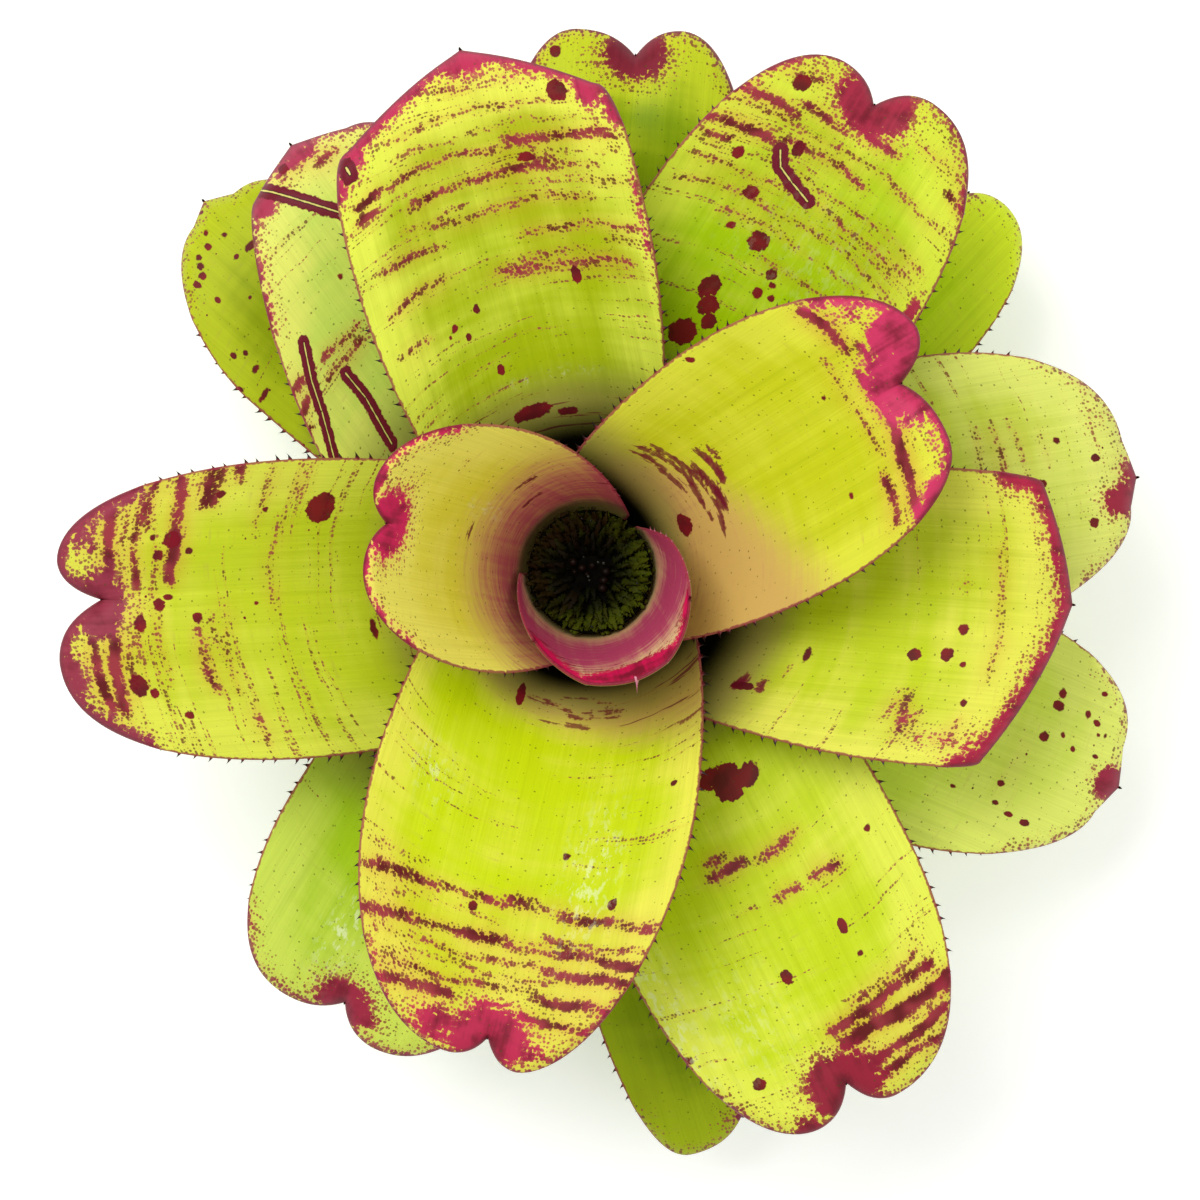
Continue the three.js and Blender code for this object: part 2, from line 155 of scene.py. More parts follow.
# The flower head: a dish of a nest with rings of bracts, buds and drops of water. The floor that the bracts
# stand on rises towards the rim.
HEAD_RADIUS = 22.2
HEAD_BOTTOM = STEM_TOP + 0.3
HEAD_FLOOR = 70
HEAD_RIM = 77.5
DISH_SIDES = 60
DISH = [
    # radius and height, up the outside, over the rim and down to the floor
    (0, HEAD_BOTTOM), (13.6, HEAD_BOTTOM), (17, 65.2), (20.2, 69), (21.4, 73), (21.6, 76),
    (21.2, HEAD_RIM), (20.5, 76), (19, 72.5), (15, 70.8), (8, HEAD_FLOOR), (0, HEAD_FLOOR),
]
LEVEL_FLOOR_RADIUS = 13
FLOOR_SLOPE = 3.4 / 7
BRACT_SINK = 0.3
BRACT_INSET = 1.6
BRACT_OVERHANG = 0.4
BRACT_THICKNESS = 0.3
BRACT_RINGS = [
    # ring radius, how many, length, half width, lean outward in degrees
    (20.6, 44, 5.0, 2.0, 8),
    (19.4, 44, 7.0, 2.2, 24),
    (17.6, 42, 8.0, 2.3, 38),
    (15.2, 38, 8.5, 2.3, 46),
    (12.6, 31, 8.5, 2.2, 46),
    (9.8, 23, 7.5, 2.0, 42),
    (6.8, 14, 5.5, 1.6, 34),
]
BRACT_ROWS = 16
BRACT_COLUMNS = 6
BRACT, SHADED_LITTER, WATER, BUD = range(4)
ROUNDS = [
    # what, how many, least and greatest distance from the axis, height, half width, half height
    (BUD, 8, 1.5, 7.5, 71.6, 1.4, 2.2),
    (WATER, 5, 1.0, 6.0, 73.6, 0.5, 0.3),
    (WATER, 6, 16.0, 20.0, 77.2, 0.4, 0.3),
]
ROUND_STEPS = 8
ROUND_SIDES = 12

# Each leaf from the innermost to the outermost, as in the solids: its direction and last rise in degrees,
# half widths, where each half is widest, sheath width as a share, (length, offset) of the lobes and of the
# point between them, powers of the curves to the lobes, notch or point, turned-down rim, raised edges,
# tilt and droop. crease is the depth of the groove down the middle.
SHAPE_KEYS = (
    "turn last_rise left right left_wide right_wide neck left_lobe right_lobe tip "
    "left_round right_round notched fold channel tilt droop crease"
).split()
SHAPES = [
    (293, 70, 46, 48, 45, 22, 0.95, (90, 12), (82, -17), (89, 0), 1.25, 1.05, False, 0, 0, 0, 0, 0),
    (167, 38, 50, 50, 60, 55, 0.93, (115, 17), (118, -14), (106, 0), 2, 2, True, 2, 0, 0, 3, 0),
    (31, 16, 50, 50, 95, 95, 0.9, (163, 14), (154, -24), (147, 0), 2, 2.1, True, 3, 2, 0, 6, 1),
    (257, 8, 57, 60, 100, 105, 0.92, (187, 14), (185, -10), (177, 2), 1.75, 2, True, 2, 3, 1, 7, 1),
    (104, 4, 55, 49, 128, 128, 0.72, (173, 45), (174, -41), (192, 0), 2.6, 2.6, False, 5, 3, -2, 6, 1),
    (356, 6, 44, 60, 120, 125, 0.8, (163, 40), (154, -56), (172, 0), 2.6, 2.6, False, 5, 4, 2, 6, 1),
    (183, 5, 62, 45, 105, 98, 0.88, (187, 23), (185, -13), (170, 1), 2.3, 2.1, True, 2, -2, -2, 8, 2),
    (58, 4, 55, 51, 112, 120, 0.86, (195, 19), (199, -15), (187, 2), 2.1, 2.5, True, 3, 3, 3, 8, 1),
    (296, 2, 60, 50, 130, 125, 0.88, (206, 16), (205, -14), (194, 2), 2.3, 2.1, True, 2, 2, 2, 9, 1),
    (126, 2, 56, 48, 90, 110, 0.86, (168, 20), (171, -22), (177, -3), 1.2, 2.2, False, 5, -4, 0, 12, 0),
    (9.5, 0, 57, 46, 115, 110, 0.86, (184, 14), (183, -9), (187, 1), 2.3, 1.9, False, 4, -3, 2, 10, 1),
    (240, 0, 52, 53, 115, 115, 0.86, (175, 18), (174, -21), (165, 1), 2.3, 2.3, True, 3, 2, -3, 10, 1),
    (85, -2, 45, 44, 120, 120, 0.86, (181, 22), (183, -17), (172, 0), 2.2, 2, True, 3, -3, 0, 10, 2),
    (337, -4, 48, 48, 125, 115, 0.86, (187, 16), (186, -8), (191, 3), 2.5, 1.75, False, 4, -4, -2, 10, 1),
    (138, -5, 36, 42, 122, 115, 0.9, (174, 3), (172, -15), (178, -6), 1.8, 2.2, False, 3, -3, 2, 10, 0),
    (46, -7, 44, 44, 115, 130, 0.86, (181, 15), (184, -17), (177, -3), 2.2, 2.2, True, 3, -2, 0, 8, 1),
    (287, -8, 44, 45, 115, 135, 0.82, (190, 16), (197, -27), (187, -5), 2.2, 2.2, True, 2, -2, 0, 8, 1),
]

# How each leaf is coloured.
#   skin, sunned: the green of the middle of the blade, and the yellower one of its edges and end.
#   dusk: lengths between which the painted shade of the cup gives way, and how far these move per mm of
#       offset.
#   warm: lengths between which the tan of the base gives way, its strength, and how far these move.
#   rose: the length that is rosiest, how far that reaches, how strong it is, and its colour.
#   crimson: depth of the crimson behind the leaf's end, and round its tip, and its colour.
#   fine: how many fine rows of dots cross the blade, 0 to 1.
#   spots: how many scattered spots, 0 to 1.
#   tears: healed tears, each a half width and the points along it.
#   glaze: patches of dried film, each (length, reach along, offset, reach across, strength).
LOOK_KEYS = "skin sunned dusk warm rose crimson fine spots tears glaze".split()
NO_WARM = (50, 60, 0.0, 0.0)
NO_ROSE = (0, 1, 0.0, "9A5A58")
LOOKS = [
    ("DCB482", "E8C898", (4, 14, 0), NO_WARM, (46, 27, 1.15, "B23268"), (6, 12, "D40C58"), 0.0, 0.0,
     [], []),
    ("D6CC34", "E4DA5C", (4, 13, 0), (40, 80, 0.9, 0), (28, 24, 0.9, "B0505A"), (4, 12, "C41854"), 0.15, 0.2,
     [], [(58, 10, -13, 3, 0.8)]),
    ("C0C616", "D6D83C", (13, 30, 0.5), (44, 88, 0.95, -0.7), (40, 10, 0.3, "AC6A58"), (5.5, 14, "C83060"),
     0.2, 0.15, [], []),
    ("C0D208", "DEDC4C", (36, 49, 0), (48, 76, 0.75, 0.2), NO_ROSE, (3, 14, "B8244E"), 0.55, 0.15,
     [], [(118, 22, 24, 8, 1.0), (98, 8, -38, 8, 0.7)]),
    ("A2B404", "DEE84E", (44, 62, 0), (50, 90, 0.35, 0), NO_ROSE, (6, 13, "B82854"), 0.75, 0.1,
     [(3, (167.5, 47), (165, 46.5))], [(73, 1.5, -2, 14, 0.7)]),
    ("BACA14", "DCDC50", (46, 64, 0), (56, 82, 0.6, 0), NO_ROSE, (7, 9, "AC1C44"), 0.5, 0.1, [], []),
    ("BAC820", "D4DA48", (38, 60, 0), (50, 90, 0.5, 0), NO_ROSE, (6, 11, "923048"), 0.75, 0.3, [], []),
    ("A4C404", "CEDC3C", (44, 64, 0), (50, 80, 0.2, 0), NO_ROSE, (4, 14, "A42444"), 0.8, 0.2,
     [(2.8, (157, 21), (152, 18), (149, 12), (146, 4))], [(130, 20, -10, 30, 0.2)]),
    ("BCD010", "DAE24C", (38, 56, 0), (50, 90, 0.3, 0), NO_ROSE, (3, 14, "941838"), 0.6, 0.15,
     [], [(150, 30, -44, 7, 0.9), (160, 18, -20, 14, 0.4)]),
    ("BED458", "DCE068", (46, 70, 0), NO_WARM, NO_ROSE, (4, 11, "A83050"), 0.6, 0.15,
     [(2.5, (121, 34), (111, 40), (102, 44), (96, 47.5), (84, 56)), (2.5, (103, 28.5), (92, 28), (75, 30.5)),
      (2.8, (170, 15), (159, 7), (144, -4))], []),
    ("C2D044", "DAE06C", (60, 84, 0), NO_WARM, NO_ROSE, (2, 9, "94203C"), 0.5, 0.25, [], []),
    ("A4C61C", "C8DA54", (66, 90, 0), NO_WARM, NO_ROSE, (3.5, 11, "982040"), 0.15, 0.1,
     [], [(142, 14, -12, 6, 1.4)]),
    ("86A002", "BECA24", (92, 112, 0), NO_WARM, NO_ROSE, (3.5, 12, "801834"), 0.1, 0.25, [], []),
    ("D0E44E", "E2EC6C", (62, 82, 0), NO_WARM, NO_ROSE, (2, 9, "981C40"), 0.2, 0.3, [], []),
    ("8E9E02", "B0BC1C", (62, 84, 0), NO_WARM, NO_ROSE, (1, 3, "8E1838"), 0.1, 0.6, [], []),
    ("BADA08", "D0E428", (76, 98, 0), NO_WARM, NO_ROSE, (1, 3, "8E1838"), 0.1, 0.3, [], []),
    ("829602", "9CAE10", (80, 100, 0), NO_WARM, NO_ROSE, (1, 5, "80163A"), 0.05, 0.2, [], []),
]

# Rows of dots across each leaf, by its number from the innermost. Each lies on a circle round the plant:
# (length, right end, left end, strength). From 0.8 up the dots run together into a band.
ROWS = {
    2: [(38, -28, -16, 0.5), (50, -34, -22, 0.5), (62, -8, 0, 0.4), (84, -30, -24, 0.4)],
    3: [(50, 6, 32, 0.5), (54, -8, 32, 0.55), (58, -14, 30, 0.55), (62, -6, 14, 0.8), (67, 2, 18, 0.8),
        (72, 9, 17, 0.6), (128, -20, 22, 0.5), (127, -42, -22, 0.75), (136, -44, 12, 1.0),
        (137, 17, 40, 0.95), (142, 4, 20, 0.8)],
    4: [(47, -2, 20, 0.42), (51, -12, 24, 0.42), (55, 2, 24, 0.4), (59, -6, 26, 0.38), (123, -54, -30, 0.5),
        (130, -56, 52, 0.6), (130, -52, -24, 0.82), (130, -15, -2, 0.75), (128, -4, 9, 0.8),
        (131, 14, 50, 0.72), (136, -50, 0, 0.45), (139, 12, 50, 0.6), (143.5, -56, 52, 0.62),
        (143.5, -56, -28, 0.82), (143.5, -17, 2, 0.9), (143.5, 18, 52, 0.84), (150, -46, 50, 0.55),
        (150, 14, 48, 0.82), (154.5, -40, 20, 0.5), (159, -48, 46, 0.6), (160, 12, 42, 0.85),
        (165, -44, -12, 0.9), (167, 8, 36, 0.85)],
    5: [(178, -34, 14, 0.55), (169, -36, 36, 0.5), (162, -42, 34, 0.45), (155.5, -48, 36, 0.62),
        (156.5, -44, -6, 0.78), (155, 36, 49, 0.8), (149.5, 38, 50, 0.75), (146.5, -38, 30, 0.58),
        (147, -24, 8, 0.74), (146, 14, 32, 0.66), (151, -46, -14, 0.45), (141, -46, -12, 0.45),
        (139, 8, 36, 0.46), (135.5, -34, 26, 0.56), (125, -48, -2, 0.6), (130, 20, 47, 0.62),
        (118, 22, 48, 0.58), (112.5, -42, 8, 0.6), (112, -10, 2, 0.8), (116.5, -28, 4, 0.5),
        (103, 32, 49, 0.5)],
    6: [(64, -40, -33, 0.9), (72, -40, -34, 0.8), (78, -34, -28, 0.5), (117, -46, -32, 0.55),
        (122, -50, -32, 0.75), (127, -52, -38, 0.6), (140, -54, -40, 0.55), (146, -30, 20, 0.4)],
    7: [(167, -42, -3, 1.0), (167, 4, 42, 1.0), (173, 12, 42, 0.9), (173, -36, -14, 0.85),
        (157, -44, 0, 0.68), (153, -42, -22, 0.8), (144.5, -40, -2, 1.0), (135.5, -46, -28, 0.9),
        (131.5, -44, -28, 0.8), (126, -48, -36, 0.8), (157, -4, 26, 0.5), (151, -24, 34, 0.45),
        (161.5, -40, 36, 0.5), (136.5, 10, 36, 0.68), (132, 6, 24, 0.48), (128, 2, 38, 0.48),
        (125.5, 38, 58, 0.55), (110, -26, 8, 0.45), (116, -44, -16, 0.5), (103, -44, -28, 0.5)],
    8: [(171.5, 20, 48, 0.85), (174, 2, 26, 0.72), (176.5, -16, 8, 0.9), (159, 22, 50, 0.84),
        (155, 36, 50, 0.7), (161, -12, 24, 0.64), (167, -30, 48, 0.5), (152, -46, 30, 0.48),
        (146, -42, 50, 0.48), (138, -44, 50, 0.46), (131, -44, 30, 0.44), (166, -46, -18, 0.5),
        (177, -50, -34, 0.8), (184, 16, 46, 0.55), (184, -46, -14, 0.5), (122, -46, 10, 0.44)],
    9: [(109, -11, 5, 0.9), (105, -10, 0, 0.8), (111, 6, 26, 0.75), (127, 6, 18, 0.8), (126, -8, 2, 0.5),
        (127.5, 20, 35, 0.8), (169, 14, 46, 0.6), (174, 4, 48, 0.95), (181, 6, 52, 1.2),
        (190, 12, 46, 0.95), (196, 12, 42, 0.85), (185, 30, 50, 0.5)],
    10: [(170, -10, 8, 0.95), (165, -16, -4, 0.8), (112, 12, 34, 0.66), (106, 14, 37, 0.62),
         (114, 40, 51, 0.7), (108, 42, 54, 0.7), (103, 48, 56, 0.65)],
    11: [(140, 8, 30, 0.5), (147, 6, 30, 0.45), (134, 8, 30, 0.4), (155, 8, 24, 0.35)],
    14: [(150, -20, 10, 0.25)],
    15: [(150, -20, -6, 0.5)],
}

# How much further out the rows of a leaf are at the bow's offset to the side than on its middle.
ROW_BOWS = {4: 7}
BOW_OFFSET = 50

# How far the ends of a row fade, and how far the skin blushes beyond its ends and to its sides.
ROW_FADE = 6
BLUSH_FADE = 18
BLUSH_REACH = 6

# Where a leaf leaves the cup and how far that fades, and the reach of its sunned edge and end and rosy edge.
CUP_LENGTH = 62
CUP_FADE = 16
SUNNED_EDGE = 22
SUNNED_END = 75
ROSY_EDGE = 5

# How far the crimson of a leaf's rim and tip fades, how steep a flush is, and a spot's least half size.
RIM_FADE = 4
TIP_FADE = 5
FLUSH_STEEPNESS = 4
LEAST_SPOT = 0.45

# Round spots on each leaf, by its number: (length, offset, half length, half width).
SPOTS = {
    3: [(38.5, -3, 4, 4.2), (98, 46, 1.2, 1.6), (120, 9, 0.8, 0.8), (113, -24, 0.8, 1)],
    4: [(134, -13, 1.6, 1.5), (110, 14, 1.3, 1.3), (88, 47, 1, 1.2), (127, 33, 2, 1.5), (52, -14, 5, 1.6)],
    5: [(108, -20, 3.2, 1.7), (104, 16, 1.7, 1.2), (101, 25, 1.5, 1.1), (99, 27, 0.7, 0.7),
        (96, 21, 1.3, 1), (80, 13, 2.2, 1.3), (171, -28, 3.6, 3.4), (150, -13, 1.6, 3), (182, 27, 1.6, 1.6),
        (60, 6, 3, 7), (57, -6, 1.6, 4)],
    6: [(82, -24, 1.3, 2.6), (119, -21, 2.3, 2.3), (130, -20, 2.2, 2.4), (136, -23, 1, 1),
        (140, -36, 1.2, 1.3), (134, -11, 1.9, 1.9), (66, -38, 4, 1.6)],
    7: [(95.5, -27, 5, 5.2), (149.5, 4, 2, 2.2), (146.5, 1.5, 1.8, 1), (156.5, 10, 2, 3),
        (137, 9, 1.8, 1.8), (161, 31, 3, 4), (156.5, 34, 1.6, 1.6), (147.5, 42.5, 1.5, 1.3),
        (149.5, -13, 1.8, 1.7), (151.5, -19, 1, 1), (139, -14, 1.2, 1.2), (114.5, -27, 0.9, 0.9),
        (130.5, -33, 1.5, 1.3), (76, 16, 1.3, 3.5), (116, 5, 0.8, 0.8), (145, -18, 3, 3)],
    8: [(181, 27, 3, 3), (151, 33, 2.3, 2), (140, 22, 2.6, 2.6), (126, 11, 3.6, 3.6), (127, 22, 1.3, 1.4),
        (118, 1, 2.2, 2), (110, 2, 2, 1.8), (107, -8, 2.2, 3.4), (115, -1, 1.2, 1.2), (111, -3, 1.2, 1.2),
        (104, 17, 5, 3.5), (98, 14, 4, 3.5), (93, 11, 3, 2.6), (86, 17, 5, 5), (160, 16, 3, 2)],
    9: [(82, 11, 7, 6), (84, 18, 4, 5), (78, 6, 4, 5), (146, 24.6, 2.8, 1.7), (151.5, -0.4, 2.8, 2),
        (182, -25, 2.2, 2.2), (126, 48, 1.2, 1.2), (157, 26, 1, 1), (168, -46, 1.6, 4)],
    10: [(170, 4, 2, 2), (120, -20, 1, 1), (128, 10, 1, 1)],
    11: [(152, 4, 1.6, 1.6), (168, -12, 1.6, 1.8), (160, 18, 1.2, 1.2), (172, 10, 1.5, 1.5)],
    12: [(150, 26, 2.2, 2.2)],
    13: [(172, 28, 2, 2)],
    14: [(159, 21, 2, 2), (159.5, 25.5, 1.4, 1.6), (157.5, 9, 1.7, 1.7), (163.5, 12, 1, 0.9),
         (170, 22, 1, 1.3), (174, 20.5, 1.4, 1.1), (177, 9.5, 1, 0.7), (168.5, 9, 0.9, 0.9),
         (175.5, 17, 0.7, 0.7), (178, 17.5, 0.6, 0.9), (174, 31, 1.1, 0.9), (150, -12, 1.2, 1.3),
         (151.5, -19, 1.2, 0.8), (157.5, -21, 1.5, 1), (164, -21.5, 1.7, 1.2), (136, -19.5, 1, 0.6)],
    15: [(164, 5, 1.4, 1.1), (153, -5, 1.3, 2.3), (164, 10, 1, 1), (161.5, 12, 1.3, 1.3), (168, 2, 1, 1),
         (159, 14, 1.5, 1.5), (158.5, 17.5, 1.6, 1.2), (149.5, 16.5, 1.2, 1), (134, 27.5, 1.3, 1),
         (131, 24, 1, 1), (126, 35, 1.3, 0.8), (118, 31, 1, 2.6), (125, 26, 1, 1.6), (162.5, -2, 0.9, 0.9)],
    16: [(130, 8, 1.2, 1.2), (165, 4, 1.2, 1.2)],
}

# Flushes of crimson by leaf: (length, offset, reach along, reach across, strength). Below 0.5 they are dots.
FLUSHES = {
    1: [(86, -4, 16, 23, 1.5)],
    2: [(117, -14, 6, 6, 0.9), (115, 15, 5, 7, 1.0)],
    3: [(156, 15, 14, 10, 1.2), (150, -22, 9, 9, 0.6), (143, -38, 7, 8, 0.9), (148, 30, 14, 10, 0.62)],
    4: [(179, 14, 14, 20, 0.66), (176, -16, 12, 18, 0.75), (168, -2, 9, 9, 0.75), (172, 0, 12, 40, 0.5)],
    5: [(188, 0, 9, 26, 0.8), (172, -38, 12, 7, 0.85), (170, 44, 12, 8, 0.8), (178, -20, 7, 20, 0.6),
        (128, -47, 34, 3.4, 0.65)],
    6: [(165, -20, 7, 20, 0.8), (152, -50, 15, 10, 0.7), (124, -43, 5, 5, 0.5), (133, 4, 4, 4, 0.5),
        (138, -50, 24, 6, 0.6)],
    7: [(176, -24, 10, 18, 0.72), (170, 6, 10, 12, 1.0), (182, 28, 9, 20, 0.75), (150, -38, 30, 9, 0.47),
        (175, 44, 10, 8, 0.7)],
    8: [(190, 24, 12, 10, 0.5), (186, -3, 10, 13, 0.8), (192, 32, 12, 18, 0.45), (190, -34, 14, 12, 0.52),
        (140, -47, 10, 4, 0.8), (170, -46, 14, 5, 0.55)],
    9: [(193, -3, 15, 10, 1.1), (203, -16, 8, 10, 0.8), (196, 10, 9, 10, 0.75), (198, -30, 8, 14, 0.5),
        (178, 46, 24, 7, 0.5)],
    10: [(164, 17, 6, 7, 1.0), (166, 8, 8, 12, 0.55), (175, -10, 7, 16, 0.7)],
    11: [(180, -6, 12, 9, 0.9), (176, 24, 10, 12, 0.44)],
    12: [(166, 2, 8, 20, 0.9), (172, -22, 6, 16, 0.6)],
    13: [(172, 1, 9, 12, 1.0), (178, 20, 8, 10, 0.45), (180, -20, 8, 10, 0.5)],
    14: [(186, 3, 9, 9, 1.0)],
    17: [(185, 12, 9, 12, 0.8)],
}

# Colours of the leaf's base, the painted shade of its cup, its markings, its edge and its underside.
TAN = "CEA85C"
HALF_SHADE_KHAKI = "8C8440"
PAINTED_CUP_SHADE = "060401"
DEEP_CRIMSON = "6A0A28"
# Dark rim crimson, partly the rim's own colour and partly painted shade of the lip that rolls down.
SHADED_RIM_CRIMSON = "6E122E"
END_HALO = "D07848"
BAND_RED = "94303C"
BAND_HALO = "C87E38"
MAROON = "5C0E1C"
SPOT_RED = "7C1020"
WELT_RED = "6E1C2A"
PIT = "4A4410"
EDGE_RED = "943444"
SLIT = "D8CC70"
SLIT_DARK = "3A1810"
FILM = "E6EEC0"
UNDERSIDE = "8FA85A"

# The patterns of two leaves are read this far apart, so they differ. A leaf with no spots or no tears has one
# far away.
LEAF_APART = 37.0
FAR_AWAY = -999.0


def linear(code):
    """An sRGB hex colour as linear red, green, blue and alpha."""
    parts = np.array([int(code[i : i + 2], 16) for i in (0, 2, 4)]) / 255
    values = np.where(parts <= 0.04045, parts / 12.92, ((parts + 0.055) / 1.055) ** 2.4)
    return (*values.tolist(), 1.0)


def ease(t):
    """Goes smoothly from 0 to 1 while t does, with level ends."""
    held = np.clip(t, 0, 1)
    return held * held * (3 - 2 * held)


def unit(vectors):
    """The same directions at length 1."""
    return vectors / np.maximum(np.linalg.norm(vectors, axis=-1, keepdims=True), 1e-9)


def quads(grid):
    """The faces between the rows and columns of a grid of point numbers, with the outside on the side that
    the cross product of a row step and a column step points to."""
    return np.stack([grid[:-1, :-1], grid[1:, :-1], grid[1:, 1:], grid[:-1, 1:]], -1).reshape(-1, 4)


def two_faced(middle, half):
    """A closed sheet round a grid of middle points (..., rows, columns, 3): each is moved half the
    thickness to both sides, and the two faces share the points of the border. Returns the points and faces
    of all the sheets, and which grid point each point came from."""
    along, across = np.gradient(middle, axis=-3), np.gradient(middle, axis=-2)
    facing = unit(np.cross(along, across))
    count, rows, columns = middle.shape[:3]
    border = np.ones((rows, columns), bool)
    border[1:-1, 1:-1] = False
    thick = np.where(border, 0, half)[..., None]
    upper = np.arange(rows * columns).reshape(rows, columns)
    lower = upper.copy()
    lower[~border] = rows * columns + np.arange((rows - 2) * (columns - 2))
    tops = (middle + facing * thick).reshape(count, -1, 3)
    bottoms = (middle - facing * thick)[:, ~border]
    points = np.concatenate([tops, bottoms], 1)
    source = np.concatenate([upper.ravel(), upper[~border]])
    faces = np.concatenate([quads(upper), quads(lower)[:, ::-1]])
    first = np.arange(count)[:, None, None] * points.shape[1]
    return points.reshape(-1, 3), (faces + first).reshape(-1, 4), source


def lathe(profile, sides, relief=0):
    """A closed turned form from (radius, height) rows that run up the outside, with a point at each end.
    relief moves the rings out, as (rings, sides). Returns points, quads and the two fans of triangles."""
    angles = np.arange(sides) / sides * TURN
    radius = profile[1:-1, :1] + relief + 0 * angles
    height = profile[1:-1, 1:] + 0 * angles
    points = np.stack([radius * np.cos(angles), radius * np.sin(angles), height], -1).reshape(-1, 3)
    ends = np.array([[0, 0, profile[0, 1]], [0, 0, profile[-1, 1]]])
    rings = len(profile) - 2
    grid = np.arange(rings * sides).reshape(rings, sides)
    grid = np.concatenate([grid, grid[:, :1]], 1)
    low, high = rings * sides, rings * sides + 1
    bottom = np.stack([grid[0, 1:], grid[0, :-1], np.full(sides, low)], -1)
    top = np.stack([grid[-1, :-1], grid[-1, 1:], np.full(sides, high)], -1)
    return np.concatenate([points, ends]), quads(grid)[:, ::-1], np.concatenate([bottom, top])


# ---- the leaf surface ----


def middle_line(leaf, order):
    """Lengths, radii and heights of a leaf's middle: an arc of its bowl, then steps whose rise dies away."""
    bowl = INNER_BOWL_RADIUS + BOWL_SPACING * order
    seat = math.asin((FIRST_SEAT_RADIUS + SEAT_RADIUS_STEP * order) / bowl)
    first_rise = (OUTER_RISE + INNER_RISE * RISE_RATIO**order) * DEGREE
    last_rise = leaf["last_rise"] * DEGREE
    angles = np.linspace(seat, first_rise, BOWL_STEPS)
    out = np.arange(1, LONGEST_BLADE + 1)
    rises = last_rise + (first_rise - last_rise) * np.exp(-(out - 0.5) / ARCH_LENGTH)
    radii = bowl * np.sin(angles)
    heights = CUP_CENTRE_Z - bowl * np.cos(angles)
    lengths = bowl * (angles - seat)
    return (
        np.concatenate([lengths, lengths[-1] + out]),
        np.concatenate([radii, radii[-1] + np.cumsum(np.cos(rises))]),
        np.concatenate([heights, heights[-1] + np.cumsum(np.sin(rises))]),
    )


def furthest(leaf):
    """The greatest length of a leaf's lobes and tip."""
    return max(leaf["left_lobe"][0], leaf["right_lobe"][0], leaf["tip"][0])


def surface(leaf, line, flat, near_rim, to_end):
    """Points of a leaf's middle surface, in mm. A length is a circle round the plant's axis, and an offset
    a distance along that circle. Channel, tilt, wave, crease, droop, fold, mucro and lip then move it up
    or down."""
    length, offset = flat[..., 0], flat[..., 1]
    radius = np.interp(length, line[0], line[1])
    height = np.interp(length, line[0], line[2])
    angle = leaf["turn"] * DEGREE + offset / radius
    far = furthest(leaf)
    out = ease((length - SHEATH_LENGTH) / (far - SHEATH_LENGTH))
    side = offset / np.where(offset > 0, leaf["left"], leaf["right"])
    tipward = np.maximum(0, (length - far + TIP_ZONE) / TIP_ZONE)
    to_tip = np.hypot(length - leaf["tip"][0], offset - leaf["tip"][1]) / MUCRO_REACH
    phase = leaf["turn"] + np.where(offset > 0, 2, 0)
    wave = np.sin(length / WAVE_LENGTH * TURN + phase)
    lip = np.maximum(0, 1 - to_end / LIP_WIDTH)
    lift = out * (leaf["channel"] * side**2 + leaf["tilt"] * side)
    lift = lift + out * WAVE_HEIGHT * wave * np.abs(side) ** 3
    lift = lift - out * leaf["crease"] * np.exp(-((offset / CREASE_REACH) ** 2))
    lift = lift - leaf["droop"] * tipward**2 - leaf["fold"] * near_rim**2
    lift = lift - leaf["fold"] * np.exp(-(to_tip**2)) - LIP_CURL * lip**2
    return np.stack([radius * np.cos(angle), radius * np.sin(angle), height + lift], -1)


def half_outline(leaf, line, sign):
    """One half of the outline from the stem to its lobe, as rows of (length, offset), and the number of the
    shoulder, halfway round the quarter superellipse that leads from the widest place to the lobe."""
    side = "left" if sign > 0 else "right"
    width, wide = leaf[side], leaf[side + "_wide"]
    lobe, power = leaf[side + "_lobe"], leaf[side + "_round"]
    lengths = np.arange(SIDE_STEPS) * wide / SIDE_STEPS
    shares = leaf["neck"] + (1 - leaf["neck"]) * ease(lengths / wide)
    wrapped = LARGEST_WRAP * np.interp(lengths, line[0], line[1])
    offsets = np.minimum(width * shares, wrapped)
    angles = np.arange(LOBE_STEPS + 1) / LOBE_STEPS * math.pi / 2
    inset = sign * lobe[1]
    round_lengths = wide + (lobe[0] - wide) * np.sin(angles) ** (2 / power)
    round_offsets = inset + (width - inset) * np.maximum(0, np.cos(angles)) ** (2 / power)
    rows = np.stack([np.append(lengths, round_lengths), sign * np.append(offsets, round_offsets)], -1)
    return rows, SIDE_STEPS + LOBE_STEPS // 2


def lobe_to_tip(leaf, lobe):
    """The stretch from a lobe to the tip: straight, or falling ever faster into a notch, by a sum of two
    powers of the way across."""
    t = np.arange(TIP_STEPS + 1) / TIP_STEPS
    fall = 0.55 * t**1.7 + 0.45 * t**4 if leaf["notched"] else t
    tip = leaf["tip"]
    return np.stack([lobe[0] + (tip[0] - lobe[0]) * fall, lobe[1] + (tip[1] - lobe[1]) * t], -1)


def walk(rows, share):
    """The points at shares of the way along a row of points, by distance."""
    steps = np.hypot(*np.diff(rows, axis=0).T)
    distance = np.append(0, np.cumsum(steps)) / steps.sum()
    return np.stack([np.interp(share, distance, rows[:, axis]) for axis in (0, 1)], -1)


def leaf_pattern(leaf, line):
    """The flat pattern of a leaf: its right side, its left side, and the four quarters of its end."""
    right, shoulder = half_outline(leaf, line, -1)
    left, _ = half_outline(leaf, line, 1)
    end = [
        right[shoulder:],
        lobe_to_tip(leaf, leaf["right_lobe"]),
        lobe_to_tip(leaf, leaf["left_lobe"])[::-1],
        left[shoulder:][::-1],
    ]
    return right[: shoulder + 1], left[: shoulder + 1], end


